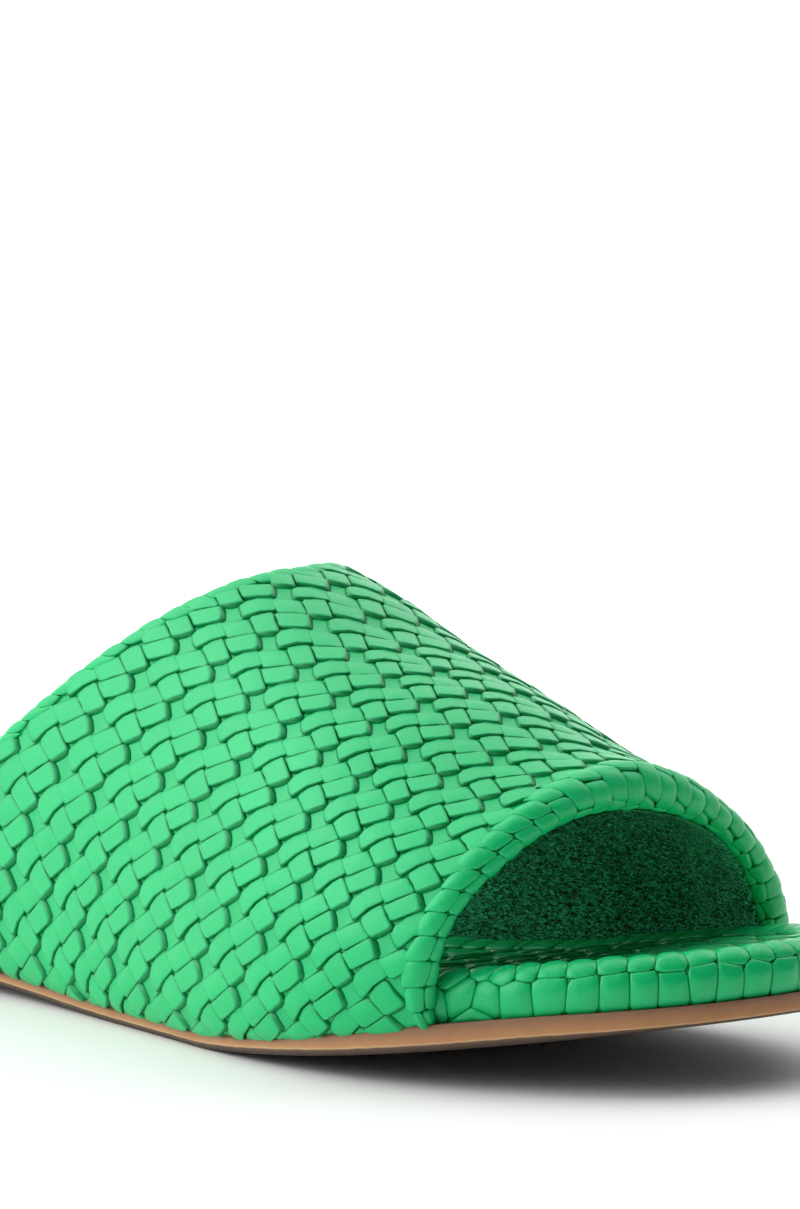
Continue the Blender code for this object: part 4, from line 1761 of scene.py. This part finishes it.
@dataclass
class Outsole:
    """The thin moulded sole with a bevelled edge, toe spring and a low heel."""

    sole: SoleForm
    rubber: bpy.types.Material
    slot: str = "outsole_rubber"
    node: str = "outsole"
    chamfer: float = 1.5
    chamfer_tip: float = 0.6
    chamfer_from: float = 95.0
    ring_points: int = 320
    rings: tuple[SoleRing, ...] = (
        SoleRing(2.2, SoleFace.UNDER, 0.0, 0.0, 0.0),
        SoleRing(1.1, SoleFace.UNDER, 0.08, 0.0, 0.2),
        SoleRing(0.12, SoleFace.UNDER, 0.86, 0.0, 0.44),
        SoleRing(0.0, SoleFace.UNDER, 1.0, 0.0, 0.5),
        SoleRing(0.0, SoleFace.UNDER, 1.0, 0.3, 0.58),
        SoleRing(0.0, SoleFace.OVER, 0.0, -0.5, 0.95),
        SoleRing(0.4, SoleFace.OVER, 0.0, 0.0, 1.0),
    )
    heel_clearance: float = 0.16
    heel_facing: float = -0.95
    sharp_angle: float = 35.0

    def build(self) -> None:
        """Make the sole."""
        attach(self.body(), self.node, self.rubber)

    def facet(self, x: Array) -> Array:
        """Height of the chamfer along the lower edge, which runs out towards the toe."""
        tip = smoothstep((x - self.chamfer_from) / (self.sole.length / 2.0 - self.chamfer_from))
        return self.chamfer + (self.chamfer_tip - self.chamfer) * tip

    def ring_height(self, row: SoleRing, x: Array) -> Array:
        """Height of a ring at X."""
        face = self.sole.under(x) if row.face is SoleFace.UNDER else self.sole.over(x)
        return face + self.facet(x) * row.chamfer + row.above

    def body(self) -> bpy.types.Object:
        """Chamfered sole wall, sprung underside and heel block.

        Returns:
            The sole.
        """
        sole = self.sole
        stack = RingStack(sole, self.ring_points)
        stack.add_levels([(row.inset, partial(self.ring_height, row)) for row in self.rings])
        bm = stack.bm
        # The wall value places the painted light and shade and the worn line in the rubber's colour.
        for ring, row in zip(stack.rings, self.rings):
            for vert in ring:
                vert[stack.wall] = row.wall
        stack.close_across(stack.rings[0])
        stack.close_across(stack.rings[-1])
        bmesh.ops.recalc_face_normals(bm, faces=bm.faces)
        everything = list(bm.verts) + list(bm.edges) + list(bm.faces)
        breast = (sole.heel_breast, 0.0, 0.0)
        bmesh.ops.bisect_plane(bm, geom=everything, plane_co=breast, plane_no=(1.0, 0.0, 0.0))
        heel = []
        for face in bm.faces:
            low = max(vert.co.z for vert in face.verts) < sole.heel_lift + self.heel_clearance
            faces_down = face.normal.z < self.heel_facing
            if low and faces_down and face.calc_center_median().x < sole.heel_breast:
                heel.append(face)
        made = bmesh.ops.extrude_face_region(bm, geom=heel)["geom"]
        bmesh.ops.delete(bm, geom=heel, context="FACES")
        for item in made:
            if isinstance(item, bmesh.types.BMVert):
                item.co.z = 0.0
        piece = object_from(bm, "outsole_body")
        piece.data.set_sharp_from_angle(angle=math.radians(self.sharp_angle))
        return piece


@dataclass
class RimSheet:
    """The footbed's rim unrolled: distance round the outline and distance up its profile."""

    bed: BedForm
    steps: int = 60
    round_stops: Array = field(init=False)
    profile: Array = field(init=False)
    profile_stops: Array = field(init=False)

    def __post_init__(self) -> None:
        """Measure the outline and the rim's profile."""
        outline = self.bed.sole.outline
        gaps = np.linalg.norm(np.roll(outline, -1, axis=0) - outline, axis=1)
        self.round_stops = np.concatenate(([0.0], np.cumsum(gaps)))
        rows = np.array(self.bed.rows)
        numbers = np.arange(len(rows), dtype=float)
        fine = np.linspace(0.0, numbers[-1], self.steps)
        self.profile = np.column_stack([natural_curve(numbers, rows[:, k], fine) for k in (0, 1)])
        gaps = np.linalg.norm(np.diff(self.profile, axis=0), axis=1)
        self.profile_stops = np.concatenate(([0.0], np.cumsum(gaps)))

    @property
    def length(self) -> float:
        """Distance round the outline."""
        return float(self.round_stops[-1])

    @property
    def height(self) -> float:
        """Distance up the profile."""
        return float(self.profile_stops[-1])

    def lay(self, u: Array, v: Array) -> tuple[Array, Array]:
        """Lay points on the rim.

        Args:
            u: Distances round the outline.
            v: Distances up the profile.

        Returns:
            The points and their unit normals.
        """
        sole = self.bed.sole
        number = np.interp(u % self.length, self.round_stops, np.arange(sole.samples + 1))
        low = number.astype(int) % sole.samples
        late = (number - number.astype(int))[:, None]
        high = (low + 1) % sole.samples
        edge = sole.outline[low] * (1.0 - late) + sole.outline[high] * late
        out = sole.outward[low] * (1.0 - late) + sole.outward[high] * late
        v = np.clip(v, 0.0, self.height)
        inset, rise = (np.interp(v, self.profile_stops, self.profile[:, k]) for k in (0, 1))
        slope = np.gradient(self.profile, self.profile_stops, axis=0)
        run, up = (np.interp(v, self.profile_stops, slope[:, k]) for k in (0, 1))
        plan = edge - out * (self.bed.belly_inset(edge[:, 0]) + inset)[:, None]
        points = np.column_stack((plan, sole.over(plan[:, 0]) + SEAT + rise))
        normals = np.column_stack((out * up[:, None], run))
        return points, normals / np.linalg.norm(normals, axis=1)[:, None]


@dataclass
class BedTopSheet:
    """The footbed's top in columns and rows of the weave."""

    bed: BedForm
    weave: Weave
    step: float = 0.5

    def lay(self, u: Array, v: Array) -> tuple[Array, Array]:
        """Lay points on the top.

        Args:
            u: Column numbers.
            v: Row numbers.

        Returns:
            The points and their unit normals.
        """
        x, y = self.weave.sheet(u, v)
        z = self.bed.top(x, y)
        along = self.bed.top(x + self.step, y) - z
        over = self.bed.top(x, y + self.step) - z
        normals = np.column_stack((-along / self.step, -over / self.step, np.ones_like(z)))
        return np.column_stack((x, y, z)), normals / np.linalg.norm(normals, axis=1)[:, None]


def clip_polygon(points: Array, middle: Array, away: Array) -> Array:
    """Part of a polygon that lies on the near side of a line.

    Args:
        points: Corners of the polygon in order.
        middle: A point on the line.
        away: Direction across the line, out of the part that is kept.

    Returns:
        Corners of the part.
    """
    side = (points - middle) @ away
    kept = []
    for k, here in enumerate(side):
        before = side[k - 1]
        if (here < 0.0) != (before < 0.0):
            kept.append(points[k - 1] + (points[k] - points[k - 1]) * before / (before - here))
        if here < 0.0:
            kept.append(points[k])
    return np.array(kept)


@dataclass
class WovenFootbed:
    """The padded footbed: foam core, woven top and the strips gathered round its rim."""

    bed: BedForm
    weave: Weave
    leather: bpy.types.Material
    slot: str = "footbed_leather"
    node: str = "footbed"
    ring_points: int = 240
    ground: float = 0.36
    side_below: float = 8.0
    top_above: float = 5.0
    dish_cuts: int = 8
    top_from: float = 7.0
    top_relief: float = 1.3
    top_depth: float = 0.9
    top_columns: int = 50
    top_rows: int = 70
    cell_length: float = 5.6
    cell_reach: float = 2.5
    rim_rows: tuple[float, ...] = (4.0, 10.2)
    rim_shift: float = 0.4
    rim_shift_toe: float = 0.12
    rim_jitter: tuple[float, float] = (1.4, 0.9)
    rim_jitter_most: float = 1.3
    rim_bit_share: float = 0.35
    rim_bit_heights: tuple[float, float] = (-0.6, 0.1)
    rim_even_from: float = 97.0
    rim_even: float = 0.45
    corner_points: int = 16
    groove: float = 0.03
    rim_skirt: float = 1.02
    rim_depth: float = 0.5
    rim_rings: tuple[float, ...] = (1.0, 1.0, 0.95, 0.84, 0.5)
    # Edge values of the rings, which paint shade in the rim's grooves.
    rim_shades: tuple[float, ...] = (1.0, 0.7, 0.1, 0.0, 0.0)
    rim_spread: float = 0.06
    rim_crown: float = 0.55
    rim_drop: float = 0.10
    fill: float = 0.9
    seed: int = 5

    def build(self) -> None:
        """Make the core, the rim and the top."""
        pad = self.core()
        attach(pad, self.node, self.leather)
        attach(self.rim(), self.node, self.leather)
        attach(self.top(), self.node, self.leather)

    def core(self) -> bpy.types.Object:
        """Foam pad under the weave.

        Returns:
            The pad.
        """
        bed, ground = self.bed, self.ground
        stack = RingStack(bed.sole, self.ring_points)
        belly = bed.belly_inset(stack.plan(0.0)[:, 0])
        levels = []
        for row in bed.rows:
            side = ground if row.rise < self.side_below else 0.0
            rise = row.rise - ground * (row.rise > self.top_above)
            levels.append((belly + row.inset + side, partial(self.level, rise)))
        stack.add_levels(levels)
        stack.close_across(stack.rings[0])
        rungs = stack.close_across(stack.rings[-1])
        inner = bmesh.ops.subdivide_edges(stack.bm, edges=rungs, cuts=self.dish_cuts)["geom_inner"]
        for item in inner:
            if isinstance(item, bmesh.types.BMVert):
                x, y = np.array([item.co.x]), np.array([item.co.y])
                item.co.z -= bed.dish(x, y)[0]
        return object_from(stack.bm, "footbed_pad")

    def level(self, rise: float, x: Array) -> Array:
        """Height of a level of the pad at X."""
        return self.bed.sole.over(x) + SEAT + rise

    def top(self) -> bpy.types.Object:
        """Woven top inside the rim.

        Returns:
            The top.
        """
        i, j = cell_numbers(self.top_columns, self.top_rows)
        x, y = self.weave.sheet(i, j)
        sole = self.bed.sole
        near = (np.abs(x) < sole.length / 2.0) & (y > sole.lateral(x)) & (y < sole.medial(x))
        inside = np.zeros(len(x))
        inside[near] = sole.inside(np.column_stack((x, y))[near]) - self.bed.belly_inset(x[near])
        cells = np.column_stack((i, j))[inside > self.top_from]
        tiles = PillowTiles(BedTopSheet(self.bed, self.weave), self.top_depth)
        lay_crossings(tiles, self.weave, cells, np.random.default_rng(self.seed), self.top_relief)
        return tiles.build("footbed_weave")

    def rim(self) -> bpy.types.Object:
        """Strips gathered round the rim, as uneven many-sided tiles.

        Returns:
            The rim.
        """
        sheet = RimSheet(self.bed)
        rng = np.random.default_rng(self.seed)
        count = round(sheet.length / self.cell_length)
        seeds = []
        for number, height in enumerate(self.rim_rows):
            around = np.arange(count) * sheet.length / count
            at_toe = sheet.lay(around, np.zeros(count))[0][:, 0] > self.rim_even_from
            shift = np.where(at_toe, self.rim_shift_toe, self.rim_shift)
            around = around + shift * number * self.cell_length
            jitter = rng.uniform(-self.rim_jitter_most, self.rim_jitter_most, (count, 2))
            jitter *= np.where(at_toe, self.rim_even, 1.0)[:, None]
            seeds.append(np.column_stack((around, np.full(count, height))) + jitter * self.rim_jitter)
        bits = (rng.random(count) < self.rim_bit_share) & ~at_toe
        around = (np.arange(count)[bits] + 0.5) * sheet.length / count
        seeds.append(np.column_stack((around, rng.uniform(*self.rim_bit_heights, bits.sum()))))
        seeds = np.vstack(seeds)
        tiles = PillowTiles(sheet, self.rim_depth, self.rim_rings, self.rim_shades)
        outlines = np.array([self.rim_cell(seeds, k, sheet) for k in range(len(seeds))])
        centre = outlines.mean(axis=1)
        raised = rng.normal(0.0, self.rim_spread, len(seeds))
        skirts = centre[:, None, :] + (outlines - centre[:, None, :]) * self.rim_skirt
        lift = cushion(self.rim_crown, self.rim_drop, raised)
        tiles.add(outlines, skirts, centre, lift, rng.random(len(seeds)))
        return tiles.build("footbed_rim")

    def rim_cell(self, seeds: Array, number: int, sheet: RimSheet) -> Array:
        """Outline of the part of the rim that is nearer to one seed than to any other.

        Args:
            seeds: All seeds, in distances round and up.
            number: Which seed.
            sheet: The rim.

        Returns:
            Evenly spaced points round the cell.
        """
        seed = seeds[number]
        reach = self.cell_reach * self.cell_length
        cell = seed + np.array([(-reach, -reach), (reach, -reach), (reach, reach), (-reach, reach)])
        cell[:, 1] = np.clip(cell[:, 1], 0.0, sheet.height)
        apart = seeds - seed
        apart[:, 0] = (apart[:, 0] + sheet.length / 2.0) % sheet.length - sheet.length / 2.0
        for other in apart[(np.abs(apart) < reach).all(axis=1)]:
            size = np.linalg.norm(other)
            if size > 0.0:
                cell = clip_polygon(cell, seed + other * (0.5 - self.groove / size), other / size)
        ring = np.vstack((cell, cell[:1]))
        stops = np.concatenate(([0.0], np.cumsum(np.linalg.norm(np.diff(ring, axis=0), axis=1))))
        places = np.linspace(0.0, stops[-1], self.corner_points, endpoint=False)
        return np.column_stack([np.interp(places, stops, ring[:, k]) for k in (0, 1)])


class SoftLight(NamedTuple):
    """A square soft light: bearing from the toe to the medial side, rise, distance, side and power."""

    name: str
    bearing: float
    rise: float
    distance: float
    size: float
    power: float


@dataclass
class Studio:
    """Pale floor and backdrop, soft light and the camera at the photograph's angle."""

    target: tuple[float, float, float] = (40.0, -6.25, 82.8)
    bearing: float = -43.0
    elevation: float = 5.2
    distance: float = 1000.0
    focal_pixels: float = 5290.0
    frame_height: float = 1209.0
    sensor: float = 36.0
    floor_size: float = 12.0
    floor_white: float = 0.94
    floor_roughness: float = 0.7
    floor_gloss: float = 0.2
    backdrop_white: float = 0.9
    backdrop_size: float = 2.4
    backdrop_distance: float = 3.0
    glow_from: float = 0.22
    glow_to: float = 0.75
    backdrop_glow: float = 1.05
    sky: float = 1.2
    sky_ahead: float = 0.0
    sky_from: float = -0.3
    sky_to: float = 0.7
    lights: tuple[SoftLight, ...] = (
        SoftLight("left", -133.0, 32.0, 1.5, 1.2, 6.2),
        SoftLight("high", -160.0, 60.0, 1.6, 1.4, 5.0),
        SoftLight("near", -100.0, 28.0, 1.5, 1.0, 4.2),
        SoftLight("far", 75.0, 50.0, 1.6, 1.2, 6.0),
    )

    def build(self) -> None:
        """Make the floor, the backdrop, the lights and the camera."""
        self.floor()
        self.backdrop()
        for row in self.lights:
            self.light(row)
        self.room()
        bpy.context.scene.view_settings.view_transform = "Standard"
        self.camera()

    def room(self) -> None:
        """Dim white room, darker ahead of the toe."""
        world = bpy.data.worlds.new("studio")
        world.use_nodes = True
        tree = NodeTree(world.node_tree)
        ray = tree.add("ShaderNodeTexCoord").outputs["Generated"]
        along = tree.add("ShaderNodeSeparateXYZ", {"Vector": ray})
        strength = tree.add("ShaderNodeMapRange", {
            "Value": along.outputs["X"], "From Min": self.sky_from, "From Max": self.sky_to,
            "To Min": self.sky, "To Max": self.sky_ahead})
        tree.fill(world.node_tree.nodes["Background"], {
            "Color": (1.0, 1.0, 1.0, 1.0), "Strength": strength.outputs["Result"]})
        bpy.context.scene.world = world

    @staticmethod
    def direction(bearing: float, rise: float) -> Vector:
        """Unit vector at a bearing and a rise, both in degrees."""
        turn, lift = math.radians(bearing), math.radians(rise)
        return Vector((math.cos(turn) * math.cos(lift), math.sin(turn) * math.cos(lift), math.sin(lift)))

    def floor(self) -> None:
        """A plain pale floor that brightens into the backdrop behind the shoe."""
        material, tree, shader = blank_material("floor_paper")
        behind = tree.add("ShaderNodeVectorMath", {
            0: tree.add("ShaderNodeTexCoord").outputs["Object"],
            1: -self.direction(self.bearing, 0.0)}, operation="DOT_PRODUCT")
        glow = tree.add("ShaderNodeMapRange", {
            "Value": behind.outputs["Value"], "From Min": self.glow_from, "From Max": self.glow_to,
            "To Max": self.backdrop_glow}, interpolation_type="SMOOTHSTEP")
        white = self.floor_white
        tree.fill(shader, {
            "Base Color": (white, white, white, 1.0),
            "Emission Color": glow.outputs["Result"],
            "Emission Strength": 1.0,
            "Roughness": self.floor_roughness,
            "Specular IOR Level": self.floor_gloss,
        })
        self.panel("floor", material, self.floor_size, Vector((0.0, 0.0, 0.0)), Vector((0.0, 0.0, 1.0)))

    def backdrop(self) -> None:
        """A glowing white wall behind the shoe, square to the camera."""
        material, tree, shader = blank_material("backdrop_paper")
        white = self.backdrop_white
        tree.fill(shader, {
            "Base Color": (white, white, white, 1.0),
            "Emission Color": (1.0, 1.0, 1.0, 1.0),
            "Emission Strength": self.backdrop_glow,
        })
        facing = self.direction(self.bearing, 0.0)
        self.panel("backdrop", material, self.backdrop_size, facing * -self.backdrop_distance, facing)

    def panel(
        self, name: str, material: bpy.types.Material, size: float, middle: Vector, facing: Vector
    ) -> None:
        """Add a flat square of the stage.

        Args:
            name: Name of the piece.
            material: Its finish.
            size: Length of its side, in metres.
            middle: Its middle, in metres.
            facing: The direction it faces.
        """
        bm = bmesh.new()
        made = bmesh.ops.create_grid(bm, x_segments=1, y_segments=1, size=size / 2.0)["verts"]
        turn = facing.to_track_quat("Z", "Y").to_matrix()
        bmesh.ops.rotate(bm, cent=(0.0, 0.0, 0.0), matrix=turn, verts=made)
        bmesh.ops.translate(bm, vec=middle, verts=made)
        mesh = bpy.data.meshes.new(name)
        bm.to_mesh(mesh)
        bm.free()
        mesh.materials.append(material)
        add_object(name, mesh)

    def light(self, row: SoftLight) -> None:
        """Add a soft light that faces the shoe.

        Args:
            row: Its place, size and power.
        """
        lamp = bpy.data.lights.new(row.name, "AREA")
        lamp.size = row.size
        lamp.energy = row.power
        made = bpy.data.objects.new(row.name, lamp)
        away = self.direction(row.bearing, row.rise)
        made.location = Vector(self.target) * MM + away * row.distance
        made.rotation_euler = (-away).to_track_quat("-Z", "Y").to_euler()
        bpy.context.scene.collection.objects.link(made)

    def camera(self) -> None:
        """Stand the camera where the photograph was taken from."""
        back = self.direction(self.bearing, self.elevation)
        lens = bpy.data.cameras.new("camera")
        lens.sensor_width = self.sensor
        lens.lens = self.sensor * self.focal_pixels / self.frame_height
        lens.clip_start = 0.05
        made = bpy.data.objects.new("camera", lens)
        made.location = (Vector(self.target) + back * self.distance) * MM
        made.rotation_euler = (-back).to_track_quat("-Z", "Y").to_euler()
        bpy.context.scene.collection.objects.link(made)
        bpy.context.scene.camera = made


BAND_LEATHER = LeatherFinish(
    "band_leather",
    deep=(0.001, 0.47, 0.135, 1.0),
    light=(0.004, 0.55, 0.165, 1.0),
    # groove: painted shade down in the band's grooves.
    groove=(0.0, 0.26, 0.070, 1.0),
)
BED_LEATHER = LeatherFinish(
    "footbed_leather",
    deep=(0.001, 0.45, 0.128, 1.0),
    light=(0.003, 0.53, 0.158, 1.0),
    # groove: painted shade down in the footbed's grooves.
    groove=(0.0, 0.30, 0.082, 1.0),
    roughness=0.36,
)


def main() -> None:
    """Load the frame, dress the shoe and set it in the studio."""
    logging.basicConfig(level=logging.INFO, format="%(name)s %(message)s")
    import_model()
    groups = EffectGroups()
    sole = SoleForm()
    weave = Weave()
    band_leather = BAND_LEATHER.material(groups)
    bed_leather = BED_LEATHER.material(groups)
    WovenBand(BandForm(sole), weave, band_leather, SuedeFinish().material()).build()
    WovenFootbed(BedForm(sole), weave, bed_leather).build()
    Outsole(sole, RubberFinish().material(groups)).build()
    Studio().build()


if __name__ == "__main__":
    main()
